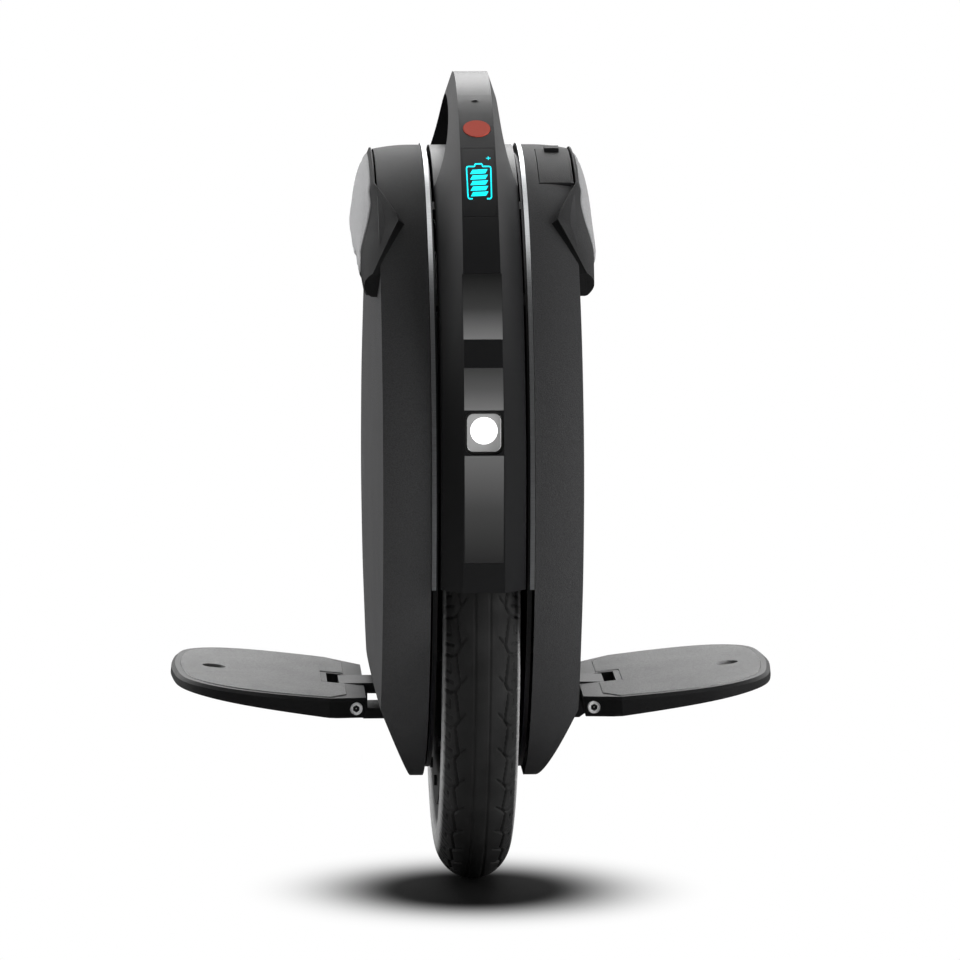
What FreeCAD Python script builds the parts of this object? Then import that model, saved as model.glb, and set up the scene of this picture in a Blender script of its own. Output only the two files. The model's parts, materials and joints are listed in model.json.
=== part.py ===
import FreeCAD, Part
import math
import os

# Electric unicycle in millimetres. The origin is on the ground under the wheel,
# +Z is up, the front faces -Y and the axle lies along X.

V = FreeCAD.Vector
os.makedirs("parts", exist_ok=True)

# Shared clearances
overrun = 30.0
seat_gap = 0.2
slide_gap = 0.3
running_gap = 0.05
fastener_gap = 0.12

# Wheel and hub motor
tyre_radius = 205.0
tyre_half_width = 25.5
tyre_wall = 5.0
tread_depth = 2.2
tread_groove_x = 5.2
tread_groove_width = 1.6
tyre_side_height = 45.0
rim_flange_height = 9.0
rim_depth = 17.0
rim_half_width = 20.5
rim_flange_thickness = 3.0
magnet_thickness = 5.5
magnet_count = 28
magnet_fill_share = 0.86
air_gap = 1.0
stator_half_width = 15.0
stator_depth = 29.5
tooth_count = 27
slot_share = 0.52
slot_depth_share = 0.78
stator_hub_half_width = 6.0
stator_hub_radius = 22.0
stator_spoke_count = 6
stator_spoke_width = 18.0
winding_overhang = 3.5
axle_radius = 8.5
axle_half_length = 60.0
axle_flat_depth = 1.5
bearing_radius = 20.0
bearing_width = 12.0
bearing_groove = 0.8
cover_thickness = 3.5
cover_boss_radius = 28.0
cover_screw_count = 12
cover_screw_radius = 2.0
cover_screw_head_radius = 3.6
cover_screw_head = 1.8
cover_screw_length = 10.0
valve_radius = 4.0
valve_reach = 3.0
valve_offset_x = 8.0
tube_wall = 1.6
cover_screw_share = 0.35
spoke_root_share = 0.05
bearing_band_share = 0.2
wedge_reach_share = 1.2

# Round body: two side discs about one centre above the axle
disc_rise = 75.0
disc_margin = 5.0
disc_inner_x = 33.5
rim_flat_x = 40.0
crease_x = 64.5
crease_drop = 2.6
dome_x = 72.0
shell_wall = 3.0
leg_drop = 131.5
leg_bottom_x = 42.0
leg_rise = 66.5
leg_top_x = 66.5

# Side frames, trim strips and wheel arch
frame_inner_x = 29.0
frame_thickness = 3.0
frame_margin = 5.8
frame_hub_hole = 30.0
strip_inner_x = 30.3
strip_thickness = 2.9
strip_proud = 1.0
strip_end_angle = -16.0
arch_room = 6.5
arch_thickness = 2.0
arch_end_angle = 22.0
arch_boss_y = 45.0
arch_boss_size = 12.0
shell_post_radius = 5.0
shell_post_margin = 45.0
shell_post_angles = (20.0, 160.0, 220.0, 320.0)
shell_screw_radius = 1.7
shell_screw_head_radius = 3.4
shell_screw_head = 1.8
shell_screw_length = 14.0

# Centre spine: covers and handle
spine_front_rise = 12.0
spine_top_rise = 49.0
ridge_x = 13.2
ridge_lean = 2.0
spine_x = 27.5
spine_wall = 3.0
spine_skirt = 9.0
spine_end_drop = 58.0
ridge_wall_share = 0.6
wheel_room_x = 28.2
wheel_room_depth = 35.0
wheel_room = 7.0
grip_hole_dip = 10.0
grip_hole_half_length = 88.0
grip_bar_thickness = 15.0
grip_half_length = 60.0
grip_end_wall = 6.0
grip_screw_radius = 2.2
grip_screw_head_radius = 4.0
grip_screw_head = 3.0
grip_screw_depth = 14.0
grip_screw_drop = 16.0
lug_size = 9.0
lug_angles = (38.0, 62.0)
lift_half_width = 8.0
lift_half_length = 30.0
lift_show = 3.5
lift_height = 5.5
lift_travel = 2.0
lift_tab = 1.5
lift_tab_height = 1.5

# Front panels, lamps, display and power button
panel_half_width = 12.6
panel_depth = 1.2
upper_panel_low_share = 0.405
upper_panel_high_share = 0.56
lower_panel_low_share = -0.147
middle_panel_high_share = 0.336
panel_lamp_gap = 0.6
lamp_share = 0.1776
lamp_width = 25.0
lamp_tall = 27.8
lamp_corner = 6.0
lamp_depth = 14.0
lamp_wall = 1.6
lens_thickness = 2.0
lens_set_back = 1.0
led_radius = 8.8
board_thickness = 1.6
tail_low_share = 0.097
tail_high_share = 0.27
tail_half_width = 11.0
tail_depth = 2.4
display_half_width = 10.5
display_low_share = 0.695
display_high_share = 0.849
display_board_inset = 2.0
button_share = 0.892
button_radius = 8.9
button_proud = 0.3
button_stem = 4.6
button_flange_x = 12.0
button_flange_along = 22.0
button_flange = 1.2
button_travel = 1.2
switch_size = 8.0
switch_height = 3.5
switch_board_along = 26.0

# Shoulder pods and leg pads
pod_sector_angle = 22.0
pod_apex_angle = 35.4
pod_end_angle = 46.8
pod_tooth_steps = 4
pod_seam_x = 66.5
pod_seam_foot_x = 65.5
pod_seam_drop = 0.2
pod_seam_low_drop = 85.0
pod_apex_x = 52.0
pod_apex_foot_x = 43.0
pod_apex_proud = 3.5
pod_apex_low_drop = 57.0
pod_end_x = 69.5
pod_end_foot_x = 58.0
pod_end_drop = 3.0
pod_end_low_drop = 28.0
pod_end_crown_x = 74.8
pod_foot_drop = 5.0
pod_crown_x = 76.3
pod_fall = 4.6
pod_crown_share = 0.5
pod_rise_power = 2.2
pod_face_shares = (0.06, 0.13, 0.22, 0.35, 0.5, 0.65, 0.8, 0.92, 1.0)
pad_thickness = 1.5
pad_root = 1.0
pad_sweep_angle = 20.0
pad_lift_shares = ((0.0, 0.3), (0.04, 0.66), (0.14, 0.9), (0.32, 0.98), (0.5, 1.0), (0.68, 0.98), (0.86, 0.9),
                   (0.96, 0.66), (1.0, 0.3))
pad_tip_angles = (20.0, 26.0, 31.0, 35.0, 37.5)
pad_tip_shares = ((0.05, 0.8, 1.0), (0.12, 0.78, 1.0), (0.23, 0.73, 0.96), (0.35, 0.66, 0.85),
                  (0.46, 0.57, 0.5))

# Charge port on the right shoulder
flap_low_x = 42.0
flap_high_x = 63.0
flap_low_angle = 22.7
flap_high_angle = 4.5
flap_thickness = 2.6
flap_gap = 0.5
flap_pin_radius = 1.1
flap_tab_width = 9.5
flap_tab_length = 9.0
flap_tab_height = 2.4
port_boss_depth = 8.0
port_boss_margin = 3.0
socket_angle = 13.0
socket_radius = 6.0
socket_flange_radius = 7.6
socket_flange = 1.2
socket_length = 20.0
socket_bore_radius = 4.2
socket_bore_depth = 12.0
contact_radius = 0.8
contact_circle = 2.2
contact_depth = 1.0
contact_count = 3
socket_nut_radius = 8.6
socket_nut_room = 0.4
socket_nut_height = 3.5

# Battery packs and controller
battery_thickness = 27.0
battery_half_length = 95.0
battery_rise = 20.0
battery_tall = 86.0
battery_corner = 9.0
sink_half_width = 22.0
sink_half_length = 62.0
sink_base = 4.0
sink_fin_height = 12.0
sink_fin_thickness = 2.0
sink_fin_count = 9
sink_rise = 2.5
control_half_width = 24.0
control_half_length = 72.0
capacitor_radius = 6.5
capacitor_height = 22.0
capacitor_pitch = 15.0
connector_size = 14.0
connector_height = 9.0
connector_pitch = 19.0
capacitor_count = 4
connector_count = 3

# Pedals and hangers
hinge_x = 78.6
hinge_drop = 80.0
pedal_rise_angle = 6.0
pedal_reach = 122.5
pedal_half_length = 95.0
pedal_back = 6.0
pedal_back_half_length = 74.0
pedal_shoulder_reach = 18.0
pedal_shoulder_half_length = 92.0
pedal_top = 6.8
pedal_bottom = 6.2
pedal_tip_bottom = 1.0
pedal_taper_start = 12.0
pedal_bevel = 2.2
pedal_notch_reach = 18.5
pedal_notch_gap = 1.5
pedal_outline_shares = ((0.45, 1.0), (0.76, 0.915), (0.925, 0.70), (0.985, 0.36))
pad_inset = 6.0
pad_set_in = 1.4
pad_proud = 0.6
pad_notch_margin = 4.0
pad_back = -7.0
hold_magnet_reach = 94.0
hold_magnet_radius = 7.8
hold_magnet_height = 3.0
pin_radius = 4.2
pin_socket_radius = 2.6
pin_socket_depth = 3.0
hanger_inner_x = 34.0
hanger_thickness = 12.0
hanger_rise = 23.0
hanger_half_width = 26.0
arm_half_width = 17.5
arm_under = 16.5
arm_over = 7.5
arm_end_x = 88.5
arm_foot_x = 72.0
arm_chin_x = 82.0
arm_chin_drop = 9.0
arm_nose_drop = 1.0
arm_window_x = 60.5
arm_window_width = 9.0
arm_window_drop = 9.5
arm_window_height = 10.0
arm_opening_gap = 1.0
nut_radius = 14.0
nut_height = 9.0
hanger_bolt_radius = 3.0
hanger_bolt_head_radius = 5.0
hanger_bolt_head = 3.0
hanger_bolt_half_pitch = 17.0
hanger_bolt_drops = (40.0, 15.0)

# Places that follow from the sizes above
axle_height = tyre_radius
rim_flange_radius = tyre_radius - tyre_side_height
rim_seat_radius = rim_flange_radius - rim_flange_height
rim_inner_radius = rim_seat_radius - rim_depth
stator_radius = rim_inner_radius - magnet_thickness - air_gap
stator_yoke_radius = stator_radius - stator_depth
disc_height = axle_height + disc_rise
disc_radius = tyre_radius + disc_margin
leg_bottom = axle_height - leg_drop
leg_top = leg_bottom + leg_rise
frame_radius = disc_radius - frame_margin
frame_outer_x = frame_inner_x + frame_thickness
strip_radius = disc_radius + strip_proud
strip_outer_x = strip_inner_x + strip_thickness
arch_radius = tyre_radius + arch_room
arch_outer_radius = arch_radius + arch_thickness
shell_post_reach = disc_radius - shell_post_margin
spine_half_length = disc_radius + spine_front_rise
spine_half_height = disc_radius + spine_top_rise
spine_inner_radius = disc_radius - spine_skirt
spine_bottom = disc_height - spine_end_drop
spine_top = disc_height + spine_half_height
grip_hole_height = disc_height + disc_radius - grip_hole_dip
grip_hole_half_height = spine_top - grip_bar_thickness - grip_hole_height
grip_screw_height = spine_top - grip_screw_drop
lift_bottom = spine_top - grip_bar_thickness - lift_show
upper_panel_bottom = disc_height + spine_half_height * upper_panel_low_share
upper_panel_top = disc_height + spine_half_height * upper_panel_high_share
lower_panel_bottom = disc_height + spine_half_height * lower_panel_low_share
middle_panel_top = disc_height + spine_half_height * middle_panel_high_share
lamp_height = disc_height + spine_half_height * lamp_share
tail_bottom = disc_height + spine_half_height * tail_low_share
tail_top = disc_height + spine_half_height * tail_high_share
display_bottom = disc_height + spine_half_height * display_low_share
display_top = disc_height + spine_half_height * display_high_share
button_height = disc_height + spine_half_height * button_share
pod_seam_radius = disc_radius - pod_seam_drop
pod_seam_low_radius = disc_radius - pod_seam_low_drop
pod_apex_radius = disc_radius + pod_apex_proud
pod_apex_low_radius = disc_radius - pod_apex_low_drop
pod_end_radius = disc_radius - pod_end_drop
pod_end_low_radius = disc_radius - pod_end_low_drop
pod_foot_radius = disc_radius - pod_foot_drop
battery_bottom = disc_height + battery_rise
battery_top = battery_bottom + battery_tall
sink_seat_height = axle_height + arch_outer_radius + sink_rise
hinge_height = axle_height - hinge_drop
hanger_top = axle_height + hanger_rise
arm_bottom = hinge_height - arm_under
arm_top = hinge_height + arm_over
arm_chin_height = hinge_height - arm_chin_drop
arm_nose_height = hinge_height - arm_nose_drop
arm_window_bottom = hinge_height - arm_window_drop
nodes = {}


# Basic solids

def box(x_low, x_high, y_low, y_high, z_low, z_high):
    corner = V(x_low, y_low, z_low)
    return Part.makeBox(x_high - x_low, y_high - y_low, z_high - z_low, corner)


def cylinder_x(radius, x_low, x_high, height, y=0.0):
    return Part.makeCylinder(radius, x_high - x_low, V(x_low, y, height), V(1, 0, 0))


def cylinder_y(radius, y_low, y_high, x, height):
    return Part.makeCylinder(radius, y_high - y_low, V(x, y_low, height), V(0, 1, 0))


def ring_x(inner, outer, x_low, x_high, height):
    solid = cylinder_x(outer, x_low, x_high, height)
    return solid.cut(cylinder_x(inner, x_low - overrun, x_high + overrun, height))


def prism_y(points_xz, y_low, y_high):
    corners = [V(x, y_low, z) for x, z in points_xz]
    face = Part.Face(Part.makePolygon(corners + corners[:1]))
    return face.extrude(V(0, y_high - y_low, 0))


def prism_x(points_yz, x_low, x_high):
    corners = [V(x_low, y, z) for y, z in points_yz]
    face = Part.Face(Part.makePolygon(corners + corners[:1]))
    return face.extrude(V(x_high - x_low, 0, 0))


def revolve_x(points_xr, height):
    corners = [V(x, 0, height + r) for x, r in points_xr]
    face = Part.Face(Part.makePolygon(corners + corners[:1]))
    return face.revolve(V(0, 0, height), V(1, 0, 0))


def hexagon_x(radius, x_low, x_high, height):
    points = []
    for step in range(6):
        angle = math.radians(60 * step)
        points.append((radius * math.cos(angle), height + radius * math.sin(angle)))
    return prism_x(points, x_low, x_high)


def ellipse_wire(half_length, half_height, x, height):
    centre = V(x, 0, height)
    along = V(x, half_length, height)
    up = V(x, 0, height + half_height)
    if half_height >= half_length:
        return Part.Wire(Part.Ellipse(up, along, centre).toShape())
    return Part.Wire(Part.Ellipse(along, up, centre).toShape())


def ellipse_cylinder(half_length, half_height, x_low, x_high, height):
    face = Part.Face(ellipse_wire(half_length, half_height, x_low, height))
    return face.extrude(V(x_high - x_low, 0, 0))


def mirrored(shape):
    return shape.mirror(V(0, 0, 0), V(1, 0, 0))


def turned_x(shape, angle, height):
    copy = shape.copy()
    copy.rotate(V(0, 0, height), V(1, 0, 0), angle)
    return copy


def ring_copies(shape, count, height):
    return [turned_x(shape, 360.0 * step / count, height) for step in range(count)]


def disc_point(angle_from_top, radius, x):
    angle = math.radians(angle_from_top)
    return V(x, -radius * math.sin(angle), disc_height + radius * math.cos(angle))


def sector(angle_low, angle_high, x_low, x_high, radius):
    corners = [disc_point(0.0, 0.0, x_low)]
    steps = 6
    for step in range(steps + 1):
        angle = angle_low + (angle_high - angle_low) * step / steps
        corners.append(disc_point(angle, radius * 2, x_low))
    face = Part.Face(Part.makePolygon(corners + corners[:1]))
    return face.extrude(V(x_high - x_low, 0, 0))


def group(shapes):
    return Part.makeCompound(shapes)


def both_sides(name, shape):
    nodes["right_" + name] = shape
    nodes["left_" + name] = mirrored(shape)


# Tyre, tube, rim and valve

def tyre_profile():
    crown = tyre_radius
    side = tyre_half_width
    middle = (tyre_radius + rim_seat_radius) / 2
    bead = rim_half_width - rim_flange_thickness - seat_gap
    low = rim_seat_radius + seat_gap
    shoulder_share = 0.62
    lift_share = 0.80
    knee = middle + (crown - middle) * lift_share
    right = [V(bead, 0, low), V(bead, 0, rim_flange_radius), V(side, 0, middle),
             V(side * shoulder_share, 0, knee), V(0, 0, crown)]
    left = [V(-p.x, 0, p.z) for p in right]
    sides = Part.makePolygon([left[1], left[0], right[0], right[1]]).Edges
    curve = Part.BSplineCurve()
    curve.interpolate([right[1], right[2], right[3], right[4], left[3], left[2], left[1]])
    wire = Part.Wire(sides + [curve.toShape()])
    wire.translate(V(0, 0, axle_height))
    return wire


def tyre():
    axis_point = V(0, 0, axle_height)
    outer = Part.Face(tyre_profile()).revolve(axis_point, V(1, 0, 0))
    cavity_centre = (tyre_radius + rim_seat_radius) / 2
    cavity_width = tyre_half_width - tyre_wall
    cavity = Part.makeTorus(cavity_centre, cavity_width, axis_point, V(1, 0, 0))
    neck_half = rim_half_width - rim_flange_thickness - tyre_wall
    neck = ring_x(rim_seat_radius - overrun, cavity_centre, -neck_half, neck_half, axle_height)
    solid = outer.cut([cavity, neck])
    for side in (-1, 1):
        low = side * tread_groove_x - tread_groove_width / 2
        high = low + tread_groove_width
        groove = ring_x(tyre_radius - tread_depth, tyre_radius + overrun, low, high, axle_height)
        solid = solid.cut(groove)
    return solid


def inner_tube():
    axis_point = V(0, 0, axle_height)
    centre = (tyre_radius + rim_seat_radius) / 2
    outer_radius = tyre_half_width - tyre_wall - seat_gap
    outer = Part.makeTorus(centre, outer_radius, axis_point, V(1, 0, 0))
    return outer.cut(Part.makeTorus(centre, outer_radius - tube_wall, axis_point, V(1, 0, 0)))


def valve_height():
    return axle_height + (rim_inner_radius + rim_seat_radius) / 2


def valve_solid(radius):
    end_x = rim_half_width + cover_thickness + valve_reach
    lying = cylinder_x(radius, valve_offset_x - radius, end_x, valve_height())
    centre = axle_height + (tyre_radius + rim_seat_radius) / 2
    top = centre - tyre_half_width + tyre_wall + tube_wall
    rise = top - valve_height()
    standing = Part.makeCylinder(radius, rise, V(valve_offset_x, 0, valve_height()), V(0, 0, 1))
    return lying.fuse(standing)


def valve_stem():
    centre = (tyre_radius + rim_seat_radius) / 2
    outer_radius = tyre_half_width - tyre_wall
    tube_space = Part.makeTorus(centre, outer_radius, V(0, 0, axle_height), V(1, 0, 0))
    return valve_solid(valve_radius).cut(tube_space)


def cover_screw_spots():
    return rim_inner_radius + (rim_seat_radius - rim_inner_radius) * cover_screw_share


def cover_screw(radius, head_radius):
    x_seat = rim_half_width + cover_thickness
    height = axle_height + cover_screw_spots()
    shank = cylinder_x(radius, x_seat - cover_screw_length, x_seat, height)
    head = cylinder_x(head_radius, x_seat, x_seat + cover_screw_head, height)
    return shank.fuse(head)


def cover_screw_set(radius, head_radius):
    first = turned_x(cover_screw(radius, head_radius), 180.0 / cover_screw_count, axle_height)
    right = ring_copies(first, cover_screw_count, axle_height)
    return right + [mirrored(screw) for screw in right]


def rim_with_rotor():
    flange_x = rim_half_width - rim_flange_thickness
    half = [(rim_half_width, rim_inner_radius), (rim_half_width, rim_flange_radius),
            (flange_x, rim_flange_radius), (flange_x, rim_seat_radius)]
    other = [(-x, r) for x, r in reversed(half)]
    ring = revolve_x(half + other, axle_height)
    holes = cover_screw_set(cover_screw_radius + fastener_gap, cover_screw_head_radius)
    return ring.cut(holes + [valve_solid(valve_radius + fastener_gap)])


# Hub motor

def magnet_ring():
    outer = rim_inner_radius - running_gap
    whole = ring_x(outer - magnet_thickness, outer, -stator_half_width, stator_half_width, axle_height)
    half_angle = math.radians(180.0 / magnet_count * magnet_fill_share)
    far = rim_inner_radius * wedge_reach_share
    spread = far * math.tan(half_angle)
    wedge = prism_x([(0, axle_height), (spread, axle_height + far), (-spread, axle_height + far)],
                    -stator_half_width - overrun, stator_half_width + overrun)
    return group(ring_copies(whole.common(wedge), magnet_count, axle_height))


def tooth_slot(clear, x_reach):
    pitch = 2 * math.pi * stator_radius / tooth_count
    depth = (stator_radius - stator_yoke_radius) * slot_depth_share
    half = pitch * slot_share / 2 - clear
    mid_radius = stator_radius - (stator_radius - stator_yoke_radius - depth) / 2
    low = axle_height + mid_radius - depth + clear
    high = axle_height + stator_radius - (stator_radius - mid_radius) - clear
    return box(-x_reach, x_reach, -half, half, low, high)


def stator_core():
    ring = ring_x(stator_yoke_radius, stator_radius, -stator_half_width, stator_half_width, axle_height)
    slots = ring_copies(tooth_slot(0.0, stator_half_width + overrun), tooth_count, axle_height)
    core = ring.cut(slots)
    hub = cylinder_x(stator_hub_radius, -stator_hub_half_width, stator_hub_half_width, axle_height)
    spoke_low = axle_height + axle_radius
    spoke_high = axle_height + stator_yoke_radius + (stator_radius - stator_yoke_radius) * spoke_root_share
    spoke = box(-stator_hub_half_width, stator_hub_half_width, -stator_spoke_width / 2, stator_spoke_width / 2,
                spoke_low, spoke_high)
    core = core.fuse(ring_copies(spoke, stator_spoke_count, axle_height) + [hub])
    bore = cylinder_x(axle_radius + running_gap, -axle_half_length, axle_half_length, axle_height)
    return core.cut(bore).removeSplitter()


def stator_windings():
    coil = tooth_slot(seat_gap, stator_half_width + winding_overhang)
    return group(ring_copies(coil, tooth_count, axle_height))


def axle():
    shaft = cylinder_x(axle_radius, -axle_half_length, axle_half_length, axle_height)
    for side in (-1, 1):
        low = axle_height + side * (axle_radius - axle_flat_depth)
        high = low + side * overrun
        start = hanger_inner_x + hanger_thickness
        for end in (-1, 1):
            x_pair = sorted((end * start, end * (axle_half_length + overrun)))
            shaft = shaft.cut(box(x_pair[0], x_pair[1], -overrun, overrun, min(low, high), max(low, high)))
    return shaft


def bearing_span():
    high = rim_half_width + cover_thickness
    return high - bearing_width, high


def hub_bearing():
    low, high = bearing_span()
    ring = ring_x(axle_radius + running_gap, bearing_radius, low, high, axle_height)
    middle = (axle_radius + bearing_radius) / 2
    band = (bearing_radius - axle_radius) * bearing_band_share
    for face_x in (low, high - bearing_groove):
        ring = ring.cut(ring_x(middle - band, middle + band, face_x, face_x + bearing_groove, axle_height))
    return ring


def motor_cover():
    low, high = bearing_span()
    plate_low = rim_half_width
    edge_radius = (rim_seat_radius + rim_flange_radius) / 2
    bore = bearing_radius + running_gap
    profile = [(low, bore), (high, bore), (high, edge_radius), (plate_low, edge_radius),
               (plate_low, cover_boss_radius), (low, cover_boss_radius)]
    return revolve_x(profile, axle_height)


# Side shells

def leg_cut(inset):
    rise = leg_rise
    run = leg_top_x - leg_bottom_x
    low_share = 0.6
    high_share = 1.5
    far = dome_x + overrun
    low = (leg_bottom_x - run * low_share - inset, leg_bottom - rise * low_share)
    high = (leg_bottom_x + run * high_share - inset, leg_bottom + rise * high_share)
    reach = disc_radius + overrun
    return prism_y([low, high, (far, high[1]), (far, low[1])], -reach, reach)


def disc_solid(inset, x_start):
    edge_radius = disc_radius - inset
    crease_radius = disc_radius - crease_drop - inset
    crease = crease_x - inset
    dome = dome_x - inset
    bulge_share = 0.5
    bulge_x = rim_flat_x + (crease - rim_flat_x) * bulge_share
    bulge_radius = edge_radius - crease_drop * bulge_share * bulge_share
    rise = dome - crease
    dome_radius = (crease_radius ** 2 + rise ** 2) / (2 * rise)
    mid_radius = crease_radius / 2
    mid_x = dome - dome_radius + math.sqrt(dome_radius ** 2 - mid_radius ** 2)

    def point(x, r):
        return V(x, 0, disc_height + r)

    start = point(x_start, edge_radius)
    flat_end = point(rim_flat_x, edge_radius)
    crease_point = point(crease, crease_radius)
    dome_point = point(dome, 0)
    edges = [
        Part.LineSegment(point(x_start, 0), start).toShape(),
        Part.LineSegment(start, flat_end).toShape(),
        Part.Arc(flat_end, point(bulge_x, bulge_radius), crease_point).toShape(),
        Part.Arc(crease_point, point(mid_x, mid_radius), dome_point).toShape(),
        Part.LineSegment(dome_point, point(x_start, 0)).toShape(),
    ]
    solid = Part.Face(Part.Wire(edges)).revolve(V(0, 0, disc_height), V(1, 0, 0))
    floor = box(-overrun, dome_x + overrun, -disc_radius - overrun, disc_radius + overrun,
                leg_bottom - overrun - disc_radius, leg_bottom + inset)
    return solid.cut([leg_cut(inset), floor])


def post_spots():
    spots = []
    for angle in shell_post_angles:
        turn = math.radians(angle)
        spots.append((shell_post_reach * math.cos(turn), disc_height + shell_post_reach * math.sin(turn)))
    return spots


def arm_opening():
    half = arm_half_width + arm_opening_gap
    low = arm_bottom - arm_opening_gap
    high = arm_top + arm_opening_gap
    return box(hanger_inner_x, dome_x + overrun, -half, half, low, high)


def side_shell():
    outer = disc_solid(0.0, disc_inner_x)
    shell = outer.cut(disc_solid(shell_wall, disc_inner_x - overrun))
    posts = []
    bores = []
    for y, z in post_spots():
        posts.append(cylinder_x(shell_post_radius, frame_outer_x, dome_x, z, y))
        bores.append(cylinder_x(shell_screw_radius + fastener_gap, frame_outer_x - overrun,
                                frame_outer_x + shell_screw_length, z, y))
    trimmed = [post.common(disc_solid(shell_wall / 2, frame_outer_x)) for post in posts]
    return shell.fuse(trimmed).cut(bores + [arm_opening()])


def shell_screw(y, z):
    seat = frame_inner_x + seat_gap
    head = cylinder_x(shell_screw_head_radius, seat, seat + shell_screw_head, z, y)
    shank = cylinder_x(shell_screw_radius, seat, frame_outer_x + shell_screw_length - seat_gap, z, y)
    return head.fuse(shank)


def shell_screws():
    right = [shell_screw(y, z) for y, z in post_spots()]
    return group(right + [mirrored(screw) for screw in right])


def trim_strip():
    ring = ring_x(frame_radius + seat_gap, strip_radius, strip_inner_x, strip_outer_x, disc_height)
    far = disc_radius * 2
    drop = far * math.sin(math.radians(strip_end_angle))
    spread = far * math.cos(math.radians(strip_end_angle))
    wedge = prism_x([(0, disc_height), (spread, disc_height + drop), (spread, disc_height - far),
                     (-spread, disc_height - far), (-spread, disc_height + drop)],
                    strip_inner_x - overrun, strip_outer_x + overrun)
    return ring.cut(wedge)


def side_frame():
    plate = cylinder_x(frame_radius, frame_inner_x, frame_outer_x, disc_height)
    low = box(0.0, dome_x, -disc_radius, disc_radius, disc_height - disc_radius - overrun, leg_bottom)
    cuts = [low, cylinder_x(frame_hub_hole, 0.0, dome_x, axle_height)]
    for y, z in post_spots():
        cuts.append(cylinder_x(shell_screw_radius + fastener_gap, 0.0, dome_x, z, y))
        cuts.append(cylinder_x(shell_screw_head_radius + fastener_gap, 0.0,
                               frame_inner_x + seat_gap + shell_screw_head, z, y))
    for y, z in hanger_bolt_spots():
        cuts.append(cylinder_x(hanger_bolt_radius + fastener_gap, 0.0, dome_x, z, y))
    return plate.cut(cuts)


# Wheel arch, heat sink, boards and batteries

def arch_sector(outer):
    far = outer + overrun
    rise = far * math.sin(math.radians(arch_end_angle))
    spread = far * math.cos(math.radians(arch_end_angle))
    return prism_x([(0, axle_height), (spread, axle_height + rise), (spread, axle_height + far * 2),
                    (-spread, axle_height + far * 2), (-spread, axle_height + rise)],
                   -frame_inner_x, frame_inner_x)


def wheel_arch():
    half = frame_inner_x
    whole = ring_x(arch_radius, arch_outer_radius, -half, half, axle_height)
    band = whole.common(arch_sector(arch_outer_radius))
    bosses = []
    for y in (-arch_boss_y, arch_boss_y):
        post = box(-sink_half_width, sink_half_width, y - arch_boss_size / 2, y + arch_boss_size / 2,
                   axle_height + arch_radius / 2, sink_seat_height)
        bosses.append(post.cut(cylinder_x(arch_radius, -half * 2, half * 2, axle_height)))
    return band.fuse(bosses).removeSplitter()


def heat_sink():
    base_top = sink_seat_height + sink_base
    half = sink_half_width
    base = box(-half, half, -sink_half_length, sink_half_length, sink_seat_height, base_top)
    fins = []
    gap = (2 * sink_half_width - sink_fin_thickness) / (sink_fin_count - 1)
    for step in range(sink_fin_count):
        x = -sink_half_width + gap * step
        fins.append(box(x, x + sink_fin_thickness, -sink_half_length, sink_half_length, base_top,
                        base_top + sink_fin_height))
    return base.fuse(fins).removeSplitter()


def control_board_bottom():
    return sink_seat_height + sink_base + sink_fin_height


def control_board():
    low = control_board_bottom()
    top = low + board_thickness
    board = box(-control_half_width, control_half_width, -control_half_length, control_half_length, low, top)
    pieces = []
    for step in range(capacitor_count):
        y = (step - (capacitor_count - 1) / 2) * capacitor_pitch
        place = V(control_half_width / 2, y, top)
        pieces.append(Part.makeCylinder(capacitor_radius, capacitor_height, place))
    half = connector_size / 2
    x = -control_half_width / 2
    for step in range(connector_count):
        y = (step - (connector_count - 1) / 2) * connector_pitch
        pieces.append(box(x - half, x + half, y - half, y + half, top, top + connector_height))
    return board.fuse(pieces)


def battery_pack():
    low_x = frame_outer_x
    pack = box(low_x, low_x + battery_thickness, -battery_half_length, battery_half_length,
               battery_bottom, battery_top)
    long_edges = []
    for edge in pack.Edges:
        ends = [vertex.Point for vertex in edge.Vertexes]
        if abs(ends[0].y - ends[1].y) > battery_half_length and ends[0].x > low_x + battery_thickness / 2:
            long_edges.append(edge)
    return pack.makeFillet(battery_corner, long_edges)


# Centre spine

def spine_form(inset):
    ellipses = []
    for side in (-1, 1):
        x = side * (ridge_x - inset * ridge_wall_share)
        wire = ellipse_wire(spine_half_length - inset, spine_half_height - inset, x, disc_height)
        lean = math.degrees(math.atan2(ridge_lean, spine_half_height))
        wire.rotate(V(x, 0, disc_height), V(0, 1, 0), -side * lean)
        ellipses.append(wire)
    circles = []
    for side in (-1, 1):
        circle = Part.Circle(V(side * (spine_x - inset), 0, disc_height), V(1, 0, 0), disc_radius - inset)
        circles.append(Part.Wire(circle.toShape()))
    return Part.makeLoft([circles[0], ellipses[0], ellipses[1], circles[1]], True, True)


def grip_hole(wall):
    reach = spine_x + overrun
    oval = ellipse_cylinder(grip_hole_half_length + wall, grip_hole_half_height + wall, -reach, reach,
                            grip_hole_height)
    return oval.cut(cylinder_x(disc_radius - wall, -reach * 2, reach * 2, disc_height))


def wheel_clearance():
    centre = tyre_radius + wheel_room - wheel_room_depth
    oval = Part.Ellipse(V(0, 0, axle_height + centre + wheel_room_depth), V(wheel_room_x, 0, axle_height + centre),
                        V(0, 0, axle_height + centre))
    face = Part.Face(Part.Wire(oval.toShape()))
    ring = face.revolve(V(0, 0, axle_height), V(1, 0, 0))
    return ring.fuse(cylinder_x(centre, -wheel_room_x, wheel_room_x, axle_height))


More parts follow.
